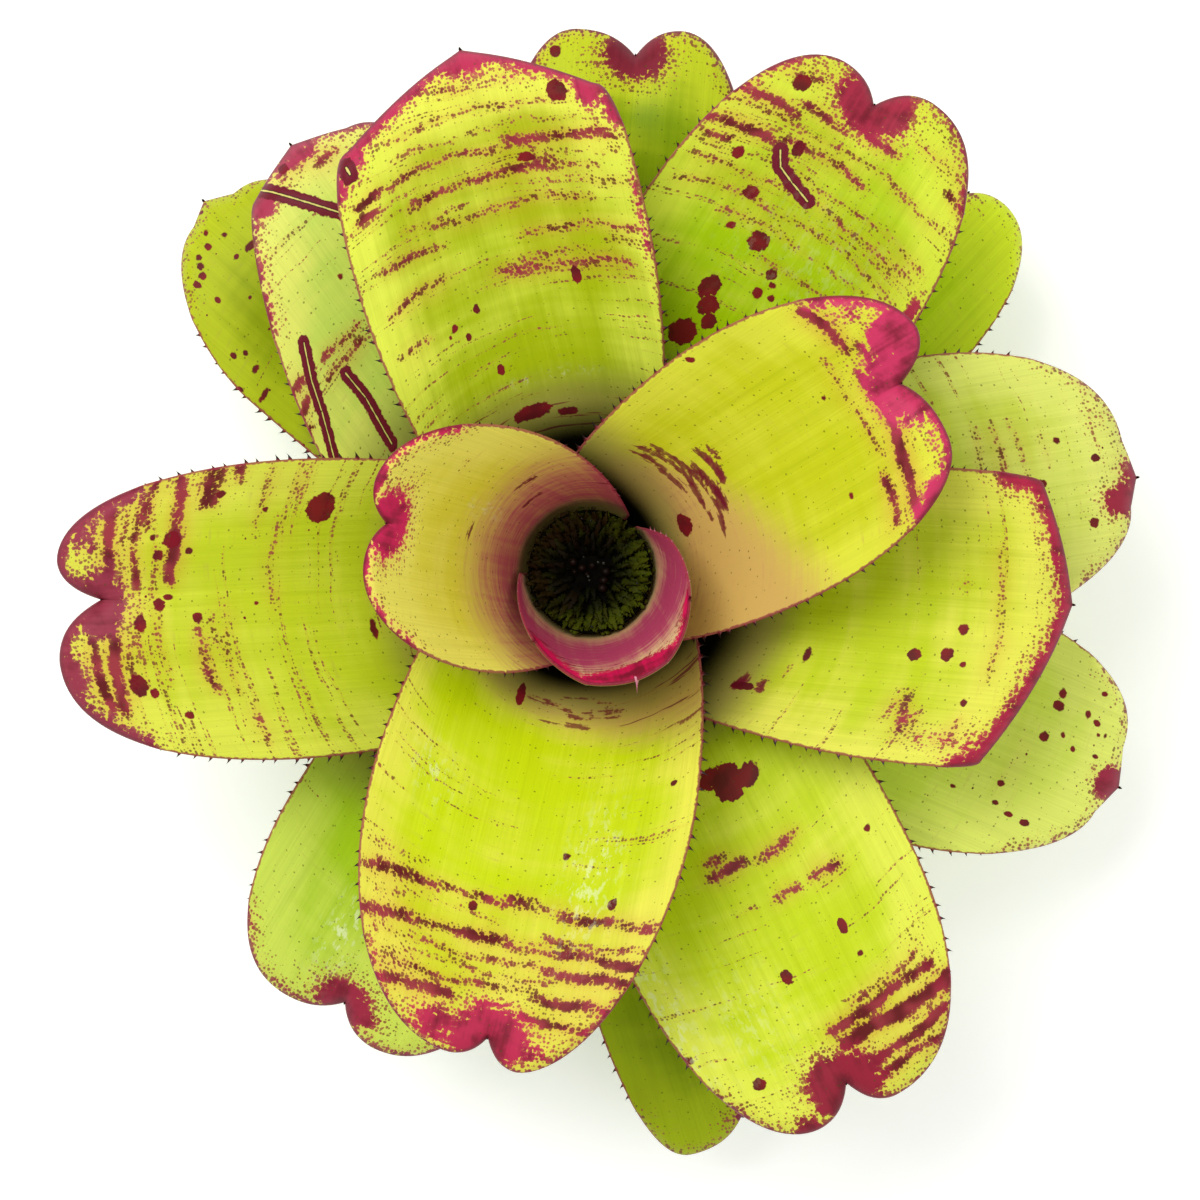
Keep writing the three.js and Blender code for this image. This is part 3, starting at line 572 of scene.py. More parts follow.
def fill_pattern(right, left, quarters, up, across):
    """A Coons patch over the outline: (length, offset) at up, 0 to 1 from the stem, and across, 0 to 1 from
    right to left. The blend of the two sides is moved, ever more, to meet the end."""
    part = np.minimum((across * 4).astype(int), 3)
    end = np.empty((len(across), 2))
    for i, quarter in enumerate(quarters):
        end[part == i] = walk(quarter, across[part == i] * 4 - i)
    u, v = up[:, None, None], across[None, :, None]
    far_corners = (1 - v) * end[0] + v * end[-1]
    sides = (1 - v) * walk(right, up)[:, None] + v * walk(left, up)[:, None]
    return sides + u * (end[None] - far_corners)


def crowded(count, share):
    """count + 1 values from 0 to 1 that crowd towards both ends: share of a cosine, the rest even."""
    even = np.arange(count + 1) / count
    return share * (0.5 - 0.5 * np.cos(even * math.pi)) + (1 - share) * even


def distance_to(points, row):
    """Distance in mm from each (length, offset) to a row of points joined by straight lines."""
    best = np.full(points.shape[:-1], 1e9)
    for start, run in zip(row[:-1], np.diff(row, axis=0)):
        share = np.clip(((points - start) @ run) / max(run @ run, 1e-9), 0, 1)
        gap = points - start - share[..., None] * run
        best = np.minimum(best, np.hypot(gap[..., 0], gap[..., 1]))
    return best


def bell(length, offset, row):
    """A smooth hump of a given strength over a place: row is (length, offset, two reaches, strength)."""
    at, aside, reach, spread, strength = row
    return strength * np.exp(-(((length - at) / reach) ** 2) - ((offset - aside) / spread) ** 2)


def between(offset, right, left, fade):
    """1 between two offsets and 0 outside them, with a smooth fade of a given width at each."""
    return ease((offset - right) / fade + 0.5) * ease((left - offset) / fade + 0.5)


def row_fields(number, length, offset):
    """How strongly rows of dots mark each point, and how much skin blushes round them. A row keeps to its
    length but for two slow waves, fades out at its ends, and is wider the stronger it is."""
    band, blush = np.zeros((2, *length.shape))
    bow = ROW_BOWS.get(number, 0) * (offset / BOW_OFFSET) ** 2
    for i, (at, right, left, strength) in enumerate(ROWS.get(number, [])):
        phase = 2.3 * i + number
        wander = 0.8 * np.sin(offset / 7 + phase) + 0.4 * np.sin(offset / 2.9 + 2 * phase)
        away = length - at - bow - wander
        ragged = 0.95 + 0.25 * np.sin(offset / 3.1 + phase) * np.sin(offset / 1.7 + 3 * phase)
        across_row = np.exp(-((away / (1.1 + 1.2 * strength)) ** 2))
        across_blush = np.exp(-((away / BLUSH_REACH) ** 2))
        band = np.maximum(band, strength * across_row * between(offset, right, left, ROW_FADE) * ragged)
        blush = np.maximum(blush, strength * across_blush * between(offset, right, left, BLUSH_FADE))
    return band, blush


def leaf_fields(leaf, look, number, flat, to_end, edge):
    """What the leaf's skin reads at each point: its place, and how deep in the cup, sunned, darkened by
    painted shade, warm, rosy, crimson, banded, blushed and glazed it is."""
    length, offset = flat[..., 0], flat[..., 1]
    shade_start, shade_end, shade_slant = look["dusk"]
    warm_start, warm_end, warm_strength, warm_slant = look["warm"]
    warm_length = length - warm_slant * offset
    band, blush = row_fields(number, length, offset)
    rose_length, rose_reach, rose_strength, _ = look["rose"]
    rosy_edge = 1 + 0.5 * np.exp(-((edge / ROSY_EDGE) ** 2))
    rim_depth, tip_depth, _ = look["crimson"]
    to_tip = np.hypot(length - leaf["tip"][0], 0.85 * (offset - leaf["tip"][1]))
    crimson = np.maximum((rim_depth - to_end) / RIM_FADE, (tip_depth - to_tip) / TIP_FADE)
    for row in FLUSHES.get(number, []):
        crimson = np.maximum(crimson, FLUSH_STEEPNESS * (bell(length, offset, row) - 0.5))
    glaze = np.zeros(length.shape)
    for at, reach, aside, spread, strength in look["glaze"]:
        glaze = np.maximum(glaze, bell(length, offset, (at, aside, reach, spread, strength)))
    near_end = ease((length - furthest(leaf) + SUNNED_END) / SUNNED_END)
    return {
        "place": np.concatenate([flat, np.full((*length.shape, 1), LEAF_APART * number)], -1),
        "cup": 1 - ease((length - CUP_LENGTH) / CUP_FADE),
        "sun": np.maximum(1 - edge / SUNNED_EDGE, 0) + 0.5 * near_end,
        # Painted shade of the deep cup, darkest at the base of the leaf.
        "dusk": np.clip((shade_end + shade_slant * offset - length) / (shade_end - shade_start), -2, 1.5),
        "warm": warm_strength * (1 - ease((warm_length - warm_start) / (warm_end - warm_start))),
        "rose": rose_strength * rosy_edge * np.exp(-(((length - rose_length) / rose_reach) ** 2)),
        "crimson": np.clip(crimson, -3, 3),
        "band": band,
        "blush": blush,
        "glaze": glaze,
        "edge": edge,
    }


def nearest_marks(look, number, flat):
    """For each face of the leaf's grid: the centre and half sizes of the spot nearest to it, and the start,
    run and half width of the nearest stretch of a healed tear."""
    centres = (flat[:-1, :-1] + flat[1:, :-1] + flat[1:, 1:] + flat[:-1, 1:]).reshape(-1, 2) / 4
    level = np.full((len(centres), 1), LEAF_APART * number)
    spots = np.array(SPOTS.get(number, [(FAR_AWAY, FAR_AWAY, 1, 1)]), float)
    away = np.linalg.norm(centres[:, None] - spots[None, :, :2], axis=-1) - spots[None, :, 2:].mean(-1)
    spot = spots[away.argmin(1)]
    stretches = [
        (*start, end[0] - start[0], end[1] - start[1], half_width)
        for half_width, *points in look["tears"]
        for start, end in zip(points[:-1], points[1:])
    ]
    stretches = np.array(stretches or [(FAR_AWAY, FAR_AWAY, 1, 1, 1)], float)
    away = [distance_to(centres, np.array([row[:2], row[:2] + row[2:4]])) for row in stretches]
    tear = stretches[np.argmin(away, axis=0)]
    return {
        "spot_at": np.concatenate([spot[:, :2], level], 1),
        "spot_size": np.concatenate([np.maximum(spot[:, 2:], LEAST_SPOT), level * 0 + 1], 1),
        "tear_at": np.concatenate([tear[:, :2], level], 1),
        "tear_run": np.concatenate([tear[:, 2:4], level * 0], 1),
        "tear_half": tear[:, 4],
    }


def spines_along(middle, outward, tipward, facing, size):
    """Hooked spines, one at each middle point: rings of an ellipse that shrink towards a point, carried out
    along outward and ever more along tipward. Returns points, faces and the share of the way to the point."""
    share = np.arange(SPINE_RINGS + 1) / SPINE_RINGS
    around = np.arange(SPINE_SIDES) / SPINE_SIDES * TURN
    swell = (np.maximum(1 - share, SPINE_BLUNTNESS) ** 1.5)[:, None]
    bend = (SPINE_LENGTH * share**2)[:, None]
    out = (share * SPINE_LENGTH - SPINE_SINK)[:, None] * np.ones(SPINE_SIDES)
    along = SPINE_LEAN * bend + SPINE_ROOT / 2 * swell * np.cos(around)
    up = SPINE_THICKNESS / 2 * swell * np.sin(around) - SPINE_HOOK * bend
    points = middle[:, None, None]
    for part, direction in ((out, outward), (along, tipward), (up, facing)):
        points = points + (part[None] * size[:, None, None])[..., None] * direction[:, None, None, :]
    grid = np.arange((SPINE_RINGS + 1) * SPINE_SIDES).reshape(SPINE_RINGS + 1, SPINE_SIDES)
    ring = quads(np.concatenate([grid, grid[:, :1]], 1))
    first = np.arange(len(middle))[:, None, None] * grid.size
    shares = np.broadcast_to(share[None, :, None], points.shape[:-1])
    return points.reshape(-1, 3), (ring + first).reshape(-1, 4), shares.ravel()


def side_spines(edge, inner, mirror, largest):
    """The spines of one edge: evenly spaced by distance from the sheath to the leaf's shoulder, and smaller
    towards the tip. inner is the next column of points, which shows the way out of the leaf."""
    steps = np.linalg.norm(np.diff(edge, axis=0), axis=1)
    distance = np.append(0, np.cumsum(steps))
    places = np.arange(FIRST_SPINE, distance[-1] - LAST_SPINE_GAP, SPINE_SPACING)
    places = places + 0.9 * np.sin(places * 1.7)

    def at(values):
        return np.stack([np.interp(places, distance, values[:, axis]) for axis in range(3)], -1)

    tipward = unit(at(np.gradient(edge, axis=0)))
    away = at(edge - inner)
    outward = unit(away - (away * tipward).sum(-1, keepdims=True) * tipward)
    size = largest * (1.08 - 0.6 * ease(places / distance[-1]) + 0.12 * np.sin(places * 2.9))
    points, faces, shares = spines_along(at(edge), outward, tipward, np.cross(tipward, outward), size)
    return points, faces if mirror else faces[:, ::-1], shares


def mucro(middle):
    """The small hard point at the leaf's tip, which hooks down."""
    column = middle.shape[1] // 2
    tip = middle[-1:, column]
    outward = unit(tip - middle[-4:-3, column])
    across = unit(middle[-1:, column + 1] - middle[-1:, column - 1])
    down = np.cross(outward, across)
    down = down * np.where(down[:, 2:] > 0, -1, 1)
    points, faces, shares = spines_along(tip, outward, down, across, np.array([MUCRO_SIZE]))
    outside = np.linalg.det(np.stack([outward[0], down[0], across[0]])) > 0
    return points, faces[:, ::-1] if outside else faces, shares


def make_piece(name, points, faces, materials, face_material, fields, node):
    """A piece of the plant from arrays in mm: its mesh, attributes and materials, and what it stands for.
    fields holds (where, values) by name, where being POINT or FACE."""
    mesh = bpy.data.meshes.new(name)
    mesh.from_pydata((points * MM).tolist(), [], faces)
    mesh.polygons.foreach_set("use_smooth", np.ones(len(faces), bool))
    for material in materials:
        mesh.materials.append(material)
    mesh.polygons.foreach_set("material_index", np.asarray(face_material, np.int32))
    for field, (where, values) in fields.items():
        vector = values.ndim == 2
        attribute = mesh.attributes.new(field, "FLOAT_VECTOR" if vector else "FLOAT", where)
        attribute.data.foreach_set("vector" if vector else "value", values.astype(np.float32).ravel())
    mesh.update()
    piece = bpy.data.objects.new(name, mesh)
    bpy.context.scene.collection.objects.link(piece)
    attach(piece, "root")
    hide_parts(node)


def with_spines(points, faces, fields, middle, largest):
    """A leaf's points, faces and fields, and after them those of the spines of both edges and of the tip. On
    a spine, edge holds the share of the way to its point, and the other fields are 0."""
    spines = [
        side_spines(middle[:, 0], middle[:, 1], False, largest),
        side_spines(middle[:, -1], middle[:, -2], True, largest),
        mucro(middle),
    ]
    for more, more_faces, shares in spines:
        faces = np.concatenate([faces, more_faces + len(points)])
        points = np.concatenate([points, more])
        extra = {name: np.zeros((len(more), values.shape[1])) for name, values in fields.items()}
        extra["edge"] = shares[:, None]
        fields = {name: np.concatenate([values, extra[name]]) for name, values in fields.items()}
    return points, faces, fields


def make_leaf(order, leaf, look, spine_material):
    """One leaf with its spines: the pattern is laid on the surface, moved half the thickness to each side,
    and the two faces meet in a rounded edge."""
    number = order + 1
    line = middle_line(leaf, order)
    right, left, quarters = leaf_pattern(leaf, line)
    up = crowded(LEAF_ROWS, ROW_CROWDING)
    across = crowded(LEAF_COLUMNS, COLUMN_CROWDING)
    flat = fill_pattern(right, left, quarters, up, across)
    to_end = distance_to(flat, np.concatenate(quarters))
    edge = np.minimum(to_end, np.minimum(distance_to(flat, right), distance_to(flat, left)))
    near_rim = np.maximum(0, 1 - (1 - up) / RIM_ZONE)[:, None] * np.ones(len(across))
    middle = surface(leaf, line, flat, near_rim, to_end)
    grown = ease(flat[..., 0] / SHEATH_LENGTH - 1)
    half = (SHEATH_THICKNESS + (BLADE_THICKNESS - SHEATH_THICKNESS) * grown) / 2
    half = half * np.sqrt(1 - (1 - np.clip(edge / EDGE_ROUNDING, 0, 1)) ** 2)
    points, faces, source = two_faced(middle[None], half[None])
    skin_faces = len(faces)
    fields = leaf_fields(leaf, look, number, flat, to_end, edge)
    fields = {name: values.reshape(half.size, -1)[source] for name, values in fields.items()}
    fields["upper"] = (np.arange(len(source)) < half.size).astype(float)[:, None]
    largest = min(1, YOUNG_SPINE_SIZE + SPINE_SIZE_STEP * order)
    points, faces, fields = with_spines(points, faces, fields, middle, largest)
    kept = {name: ("POINT", values if name == "place" else values[:, 0]) for name, values in fields.items()}
    for name, values in nearest_marks(look, number, flat).items():
        unmarked = np.full((len(faces) - len(values), *values.shape[1:]), FAR_AWAY if "at" in name else 1.0)
        kept[name] = ("FACE", np.concatenate([values, unmarked]))
    name = f"leaf_{number:02d}"
    skin = leaf_skin(f"bromeliad_leaf_skin_{number:02d}", look)
    face_material = np.arange(len(faces)) >= skin_faces
    make_piece(f"{name}_blade", points, faces.tolist(), [skin, spine_material], face_material, kept,
               name)


# ---- the stem and the flower head ----


def make_stem():
    """The short stem: its radius eases from foot to top, and falls by the depth of a scar at each ring
    where a leaf grew. Between the scars stand fibres, the product of two waves round the stem that drift as
    they rise. Both ends are flat cuts."""
    height = np.linspace(0, STEM_TOP, STEM_RINGS)
    radius = FOOT_RADIUS + (STEM_TOP_RADIUS - FOOT_RADIUS) * ease(height / STEM_TOP)
    to_ring = np.abs((height / SCAR_SPACING) % 1 - 0.5) * 2
    radius = radius - SCAR_DEPTH * ease((to_ring - SCAR_START) / SCAR_EASE)
    angles = np.arange(STEM_SIDES) / STEM_SIDES * TURN
    rising = height[:, None]
    fibres = np.sin(angles * 23 + 2 * np.sin(rising / 9)) * np.sin(angles * 41 + rising / 17)
    relief = FIBRE_HEIGHT * fibres * (to_ring[:, None] < SCAR_START) - BARK_INSET
    profile = np.concatenate([[[0, 0]], np.stack([radius, height], -1), [[0, STEM_TOP]]])
    points, rows, fans = lathe(profile, STEM_SIDES, relief)
    faces = rows.tolist() + fans.tolist()
    make_piece("stem_bark", points, faces, [stem_bark()], np.zeros(len(faces)), {}, "stem")


def bract_grid(radius, turn, length, half_width, lean, floor):
    """Middle points of a pointed bract with frayed edges, in rows from root to point. It leans out more the
    higher it is, is hollow on its inner side, and its edges wave and twist."""
    up = np.arange(BRACT_ROWS + 1)[:, None] / BRACT_ROWS
    side = (np.arange(BRACT_COLUMNS + 1) / BRACT_COLUMNS * 2 - 1)[None, :]
    torn = chance.uniform(-0.3, 0.3, (len(up), 2))[:, (side[0] > 0).astype(int)]
    frayed = 1 + 0.3 * np.cos(up * BRACT_ROWS * math.pi) + torn
    wide = half_width * (0.35 + up) ** 0.5 * np.maximum(1 - up, 0.004) ** 0.7 * frayed
    twist = chance.uniform(-1.2, 1.2) * up
    angle = lean * DEGREE * (0.4 + 0.9 * up)
    hollow = 0.35 * half_width * (side**2 - 1) * (1 - up) + 0.5 * half_width
    waves = 0.8 * side**2 * np.sin(up * 9 + chance.uniform(0, TURN))
    out = radius + length * up * np.sin(angle) + hollow + waves + wide * side * np.sin(twist)
    out = np.minimum(out, HEAD_RADIUS + BRACT_OVERHANG)
    high = floor + length * up * np.cos(angle)
    aside = wide * side * np.cos(twist)
    c, s = math.cos(turn), math.sin(turn)
    return np.stack([out * c - aside * s, out * s + aside * c, high + 0 * aside], -1)


def bract_sheets():
    """All bracts, evenly spaced round each ring but for a little chance: their points, faces and growth."""
    sheets, marks = [], []
    for ring, (radius, count, length, half_width, lean) in enumerate(BRACT_RINGS):
        floor = HEAD_FLOOR - BRACT_SINK + FLOOR_SLOPE * max(0, radius - LEVEL_FLOOR_RADIUS)
        for i in range(count):
            turn = (i + 0.5 * (ring % 2) + chance.uniform(-0.45, 0.45)) / count * TURN
            tall = length * chance.uniform(0.7, 1.12)
            leaning = lean * chance.uniform(0.4, 1.5)
            sheets.append(bract_grid(radius - BRACT_INSET, turn, tall, half_width, leaning, floor))
            marks.append((radius / HEAD_RADIUS, chance.uniform()))
    sheets = np.array(sheets)
    points, faces, source = two_faced(sheets, np.full(sheets.shape[:-1], BRACT_THICKNESS / 2))
    up = (source // (BRACT_COLUMNS + 1)) / BRACT_ROWS
    marks = np.repeat(np.array(marks), len(source), axis=0)
    return points, [faces], np.concatenate([np.tile(up, len(sheets))[:, None], marks], 1)


def buds_and_drops():
    """Each bud and drop: an ellipsoid at a place drawn by chance, turned from a half ellipse. Gives its
    points, faces, growth and material."""
    steps = np.linspace(0, 1, ROUND_STEPS + 1)
    for kind, count, inner, outer, low, wide, tall in ROUNDS:
        for _ in range(count):
            reach, turn = chance.uniform(inner, outer), chance.uniform(0, TURN)
            swell = chance.uniform(0.75, 1.2)
            outline = np.stack([wide * swell * np.sin(steps * math.pi), -tall * np.cos(steps * math.pi)], -1)
            outline[[0, -1], 0] = 0
            points, *faces = lathe(outline, ROUND_SIDES)
            place = [reach * math.cos(turn), reach * math.sin(turn), low]
            growth = np.zeros((len(points), 3)) + [0.5, reach / HEAD_RADIUS, swell]
            yield points + place, faces, growth, kind


def make_head():
    """The flower head: a dish, rings of frayed bracts that stand in it, buds and drops of water. The
    attribute growth holds how far up a bract, how far out in the head, and how withered."""
    dish, *dish_faces = lathe(np.array(DISH), DISH_SIDES)
    dish_part = (dish, dish_faces, np.zeros((len(dish), 3)), SHADED_LITTER)
    points, growth, faces, face_material = np.zeros((0, 3)), [], [], []
    for more, blocks, marks, kind in (dish_part, (*bract_sheets(), BRACT), *buds_and_drops()):
        for block in blocks:
            faces += (block + len(points)).tolist()
            face_material += [kind] * len(block)
        points = np.concatenate([points, more])
        growth.append(marks)
    fields = {"growth": ("POINT", np.concatenate(growth))}
    materials = {
        BRACT: bract_skin(),
        # Wet litter at the bottom of the cup, painted near black as shade, since it is too deep in to catch
        # much light.
        SHADED_LITTER: damp_skin("bromeliad_cup_shaded_litter", 0.3, "020201", "0C0A03", Roughness=0.7,
                          Specular_IOR_Level=0.03),
        # Water drops: nearly black, with a mirror gloss that gives each a bright glint.
        WATER: damp_skin("clinging_water", 0.2, "0A0C0A", "20261C", Roughness=0.03, IOR=1.33),
        # Closed buds: soft brownish skin.
        BUD: damp_skin("bromeliad_bud_skin", 0.4, "0A0602", "1E0E06", Roughness=0.5, Specular_IOR_Level=0.15),
    }
    make_piece("flower_head_bracts", points, faces, materials.values(), face_material, fields,
               "flower_head")


# ---- materials ----


# The settings of each kind of node, in the order in which add is given them.
NODE_SETTINGS = {
    "Attribute": ["attribute_name"],
    "MapRange": ["interpolation_type"],
    "Math": ["operation"],
    "Mix": ["data_type", "blend_type"],
    "TexVoronoi": ["voronoi_dimensions"],
    "VectorMath": ["operation"],
}
MIX = "Mix RGBA MIX"
STEP = "MapRange SMOOTHSTEP"

# The fields of a leaf's mesh that are plain numbers.
NUMBER_FIELDS = "cup sun dusk warm rose crimson band blush glaze edge upper tear_half".split()

# The noises of a leaf's skin: waves per mm along and across the blade, detail and roughness.
NOISES = {
    "clouds": (0.03, 0.035, 2, 0.5),  # of the two greens
    "belts": (0.11, 0.011, 2, 0.6),  # across the blade
    "streaks": (0.012, 0.3, 2, 0.6),  # along the veins
    "veins": (0.025, 1.5, 1, 0.5),  # the veins themselves
    "arcs": (0.6, 0.045, 2, 0.65),  # round the cup
    "wobble": (0.55, 0.55, 2, 0.5),  # of every outline
    "broken": (0.06, 0.022, 1, 0.5),  # patches that break up the rows
    "depth": (0.13, 0.1, 1, 0.5),  # of the pigment
    "sheets": (0.2, 0.34, 3, 0.7),  # of dried film
}


def feed(tree, socket, value):
    """Gives a socket a link, a colour from its hex code, or a plain value."""
    if isinstance(value, bpy.types.NodeSocket):
        tree.links.new(value, socket)
    else:
        socket.default_value = linear(value) if isinstance(value, str) else value


def add(tree, words, *inputs, output=None, **named):
    """Adds one node, and returns its first output or the named one. words are its kind and its settings.
    The inputs go to the node's sockets in their order, or by name."""
    kind, *settings = words.split()
    made = tree.nodes.new("ShaderNode" + kind)
    for setting, value in zip(NODE_SETTINGS.get(kind, []), settings):
        setattr(made, setting, value)
    for socket, value in zip([socket for socket in made.inputs if socket.enabled], inputs):
        feed(tree, socket, value)
    for name, value in named.items():
        feed(tree, made.inputs[name], value)
    return made.outputs[output] if output else next(socket for socket in made.outputs if socket.enabled)


def weigh(tree, start, *terms):
    """start and the sum of each socket times its weight."""
    total = start
    for socket, weight in terms:
        total = add(tree, "Math MULTIPLY_ADD", socket, weight, total)
    return total


def material_tools(name):
    """A new material, and add and weigh for its own node tree."""
    material = bpy.data.materials.new(name)
    material.use_nodes = True
    return material, partial(add, material.node_tree), partial(weigh, material.node_tree)


def shade(material, **inputs):
    """Feeds the material's shader, and returns the material."""
    tree = material.node_tree
    for name, value in inputs.items():
        feed(tree, tree.nodes["Principled BSDF"].inputs[name.replace("_", " ")], value)
    return material


def leaf_readings(node):
    """What a leaf's skin is worked out from at a point: its place, the fields of its mesh and the noises."""
    place = node("Attribute place", output="Vector")
    fields = {name: node("Attribute " + name, output="Fac") for name in NUMBER_FIELDS}
    noises = {
        name: node("TexNoise", node("VectorMath MULTIPLY", place, (along, across, 1)), 1, detail, roughness)
        for name, (along, across, detail, roughness) in NOISES.items()
    }
    return SimpleNamespace(place=place, **fields, **noises)


def leaf_tissue(node, total, here, look):
    """The skin without its marks: two greens in clouds, belts and streaks. Towards the cup it turns tan,
    with rose in curved streaks, then khaki as painted shade of the deep cup, and round the rows it blushes."""
    sunned = total(-1.0, (here.clouds, 1.2), (here.belts, 0.9), (here.streaks, 0.3), (here.sun, 0.75))
    colour = node(MIX, node(STEP, sunned, 0, 0.9), look["skin"], look["sunned"])
    colour = node("VectorMath SCALE", colour, Scale=total(0.8, (here.streaks, 0.2), (here.veins, 0.2)))
    warmth = total(-0.3, (here.warm, 1), (here.arcs, 0.4), (here.veins, 0.2))
    colour = node(MIX, node(STEP, warmth, 0.1, 0.95), colour, TAN)
    blushing = total(-0.25, (here.blush, 0.8), (here.broken, 0.5), (here.cup, -1))
    colour = node(MIX, node(STEP, blushing, 0, 0.9, 0, 0.45), colour, BAND_HALO)
    rosiness = total(-0.95, (here.rose, 1), (here.arcs, 1.2), (here.streaks, 0.7))
    colour = node(MIX, node(STEP, rosiness, 0.1, 1.1, 0, 0.95), colour, look["rose"][3])
    # Painted half shade: khaki where the dark of the cup begins.
    return node(MIX, node(STEP, here.dusk, -1, 0.2, 0, 0.85), colour, HALF_SHADE_KHAKI)


def pigment_strength(node, total, here, look):
    """How strong the red pigment is: the most of the rows, of fine rows that follow bent circles and are
    broken into stretches, and of the freckles and the front of crimson at the leaf's end."""
    bent = node("VectorMath ADD", here.place, node("CombineXYZ", node("Math MULTIPLY", here.clouds, 7)))
    lines = node("TexNoise", node("VectorMath MULTIPLY", bent, (0.33, 0.008, 1)), 1, 2, 0.7)
    broken = total(0, (here.broken, 1), (here.sun, 0.1))
    limit = node(STEP, broken, 0.28, 0.6, 0.76, 0.76 - 0.24 * look["fine"])
    fine_rows = node("Math MINIMUM", total(0.36, (lines, 6), (limit, -6)), 0.42)
    front = total(-0.95, (here.crimson, 0.75), (here.wobble, 1.1), (lines, 1.1), (here.depth, 0.3))
    freckles = total(-0.2, (here.crimson, 0.22), (here.wobble, 0.6), (lines, 0.6))
    pigment = total(-0.5, (here.band, 1.3), (here.wobble, 0.6), (here.broken, 0.3))
    for more in (fine_rows, node("Math MINIMUM", freckles, 0.5), front):
        pigment = node("Math MAXIMUM", pigment, more)
    return pigment


def pigment_marks(node, total, here, pigment):
    """How much the pigment covers. It sits in cells 1.35 mm long and 1.25 mm wide: dots where it is weak,
    solid where it is strong. The cells differ, so weak pigment fills only some. The cup has dashes."""
    dot = node("TexVoronoi 2D", node("VectorMath MULTIPLY", here.place, (0.74, 0.8, 0)), 1, Randomness=0.85)
    varied = node("SeparateColor", dot.node.outputs["Color"])
    dots = total(0, (pigment, 1.3), (varied, -0.5), (dot, -1))
    dashes = total(-1.5, (pigment, 1.5), (here.arcs, 1.9))
    marks = node(STEP, node("Mix FLOAT", here.cup, dots, dashes), -0.1, 0.12)
    marks = node("Math MULTIPLY", marks, node(STEP, pigment, 0.2, 0.9, 0.75, 0.98))
    return node("Math MULTIPLY", marks, here.upper)


def leaf_spots(node, total, here, look):
    """How much the spots cover: scattered ones, one in each cell of 11 by 13 mm that is picked, and the
    placed ones, each out to where the way from its centre, measured in its half sizes, is 1."""
    cells = node("VectorMath MULTIPLY", here.place, (1 / 11, 1 / 13, 0))
    cell = node("TexVoronoi 2D", cells, 1, Randomness=1)
    picked = node("SeparateColor", cell.node.outputs["Color"])
    rarity = 0.14 * (1 - look["spots"])
    scattered = total(0.025 - rarity, (picked, 0.14), (cell, -1), (here.wobble, -0.05))
    size = node("Attribute spot_size", output="Vector")
    gap = node("VectorMath SUBTRACT", here.place, node("Attribute spot_at", output="Vector"))
    reach = node("VectorMath LENGTH", node("VectorMath DIVIDE", gap, size))
    half = node("SeparateXYZ", size)
    beyond = node("Math MULTIPLY", node("Math SUBTRACT", reach, 1), half)
    ragged = node("Math MULTIPLY", half, here.wobble)
    placed = total(-0.5, (beyond, 1), (here.wobble, 1.0), (ragged, 0.5), (half, -0.25))
    spots = node("Math MAXIMUM", node(STEP, scattered, -0.008, 0.008), node(STEP, placed, 0.25, -0.2))
    return node("Math MULTIPLY", node("Math MULTIPLY", spots, here.upper), 0.985)


def marked(node, total, here, look, colour):
    """The skin with its pigment and spots. The rows are maroon. The leaf's end is a brighter crimson, mottled
    with maroon, more so nearest the tip as painted shade of its fold, and its rim is dark, partly its own
    colour and partly painted shade of the lip that rolls down."""
    pigment = pigment_strength(node, total, here, look)
    halo = node("Math MULTIPLY", node(STEP, pigment, 0.15, 0.95, 0, 0.42), here.upper)
    strong = node(STEP, here.depth, 0.35, 0.65)
    band_red = node(MIX, here.cup, node(MIX, strong, BAND_RED, MAROON), DEEP_CRIMSON)
    # The crimson term darkens the end most near the tip and rim: painted shade of the fold there.
    deep = total(-0.75, (here.depth, 1), (here.wobble, 0.3), (here.streaks, 0.8), (here.crimson, 0.12))
    end_red = node(MIX, node(STEP, deep, 0.3, 0.8, 0, 0.85), look["crimson"][2], DEEP_CRIMSON)
    # A dark rim: partly the rim's own crimson, partly painted shade of the lip that rolls down.
    end_red = node(MIX, node(STEP, here.edge, 2.4, 1.0, 0, 0.75), end_red, SHADED_RIM_CRIMSON)
    ends = node(STEP, total(-0.5, (here.crimson, 1), (here.wobble, 1)), -0.6, 0.5)
    colour = node(MIX, halo, colour, node(MIX, ends, BAND_HALO, END_HALO))
    marks = pigment_marks(node, total, here, pigment)
    colour = node(MIX, marks, colour, node(MIX, ends, band_red, end_red))
    return node(MIX, leaf_spots(node, total, here, look), colour, node(MIX, strong, MAROON, SPOT_RED))


def pitted(node, total, here, colour):
    """The skin with tiny dark pits of many sizes, one to a cell of 4.2 by 4.8 mm."""
    cells = node("VectorMath MULTIPLY", here.place, (1 / 4.2, 1 / 4.8, 0))
    pit = node("TexVoronoi 2D", cells, 1, Randomness=1)
    pit_size = node("SeparateColor", pit.node.outputs["Color"])
    return node(MIX, node(STEP, total(0, (pit_size, 0.09), (pit, -1)), -0.01, 0.02, 0, 0.6), colour, PIT)


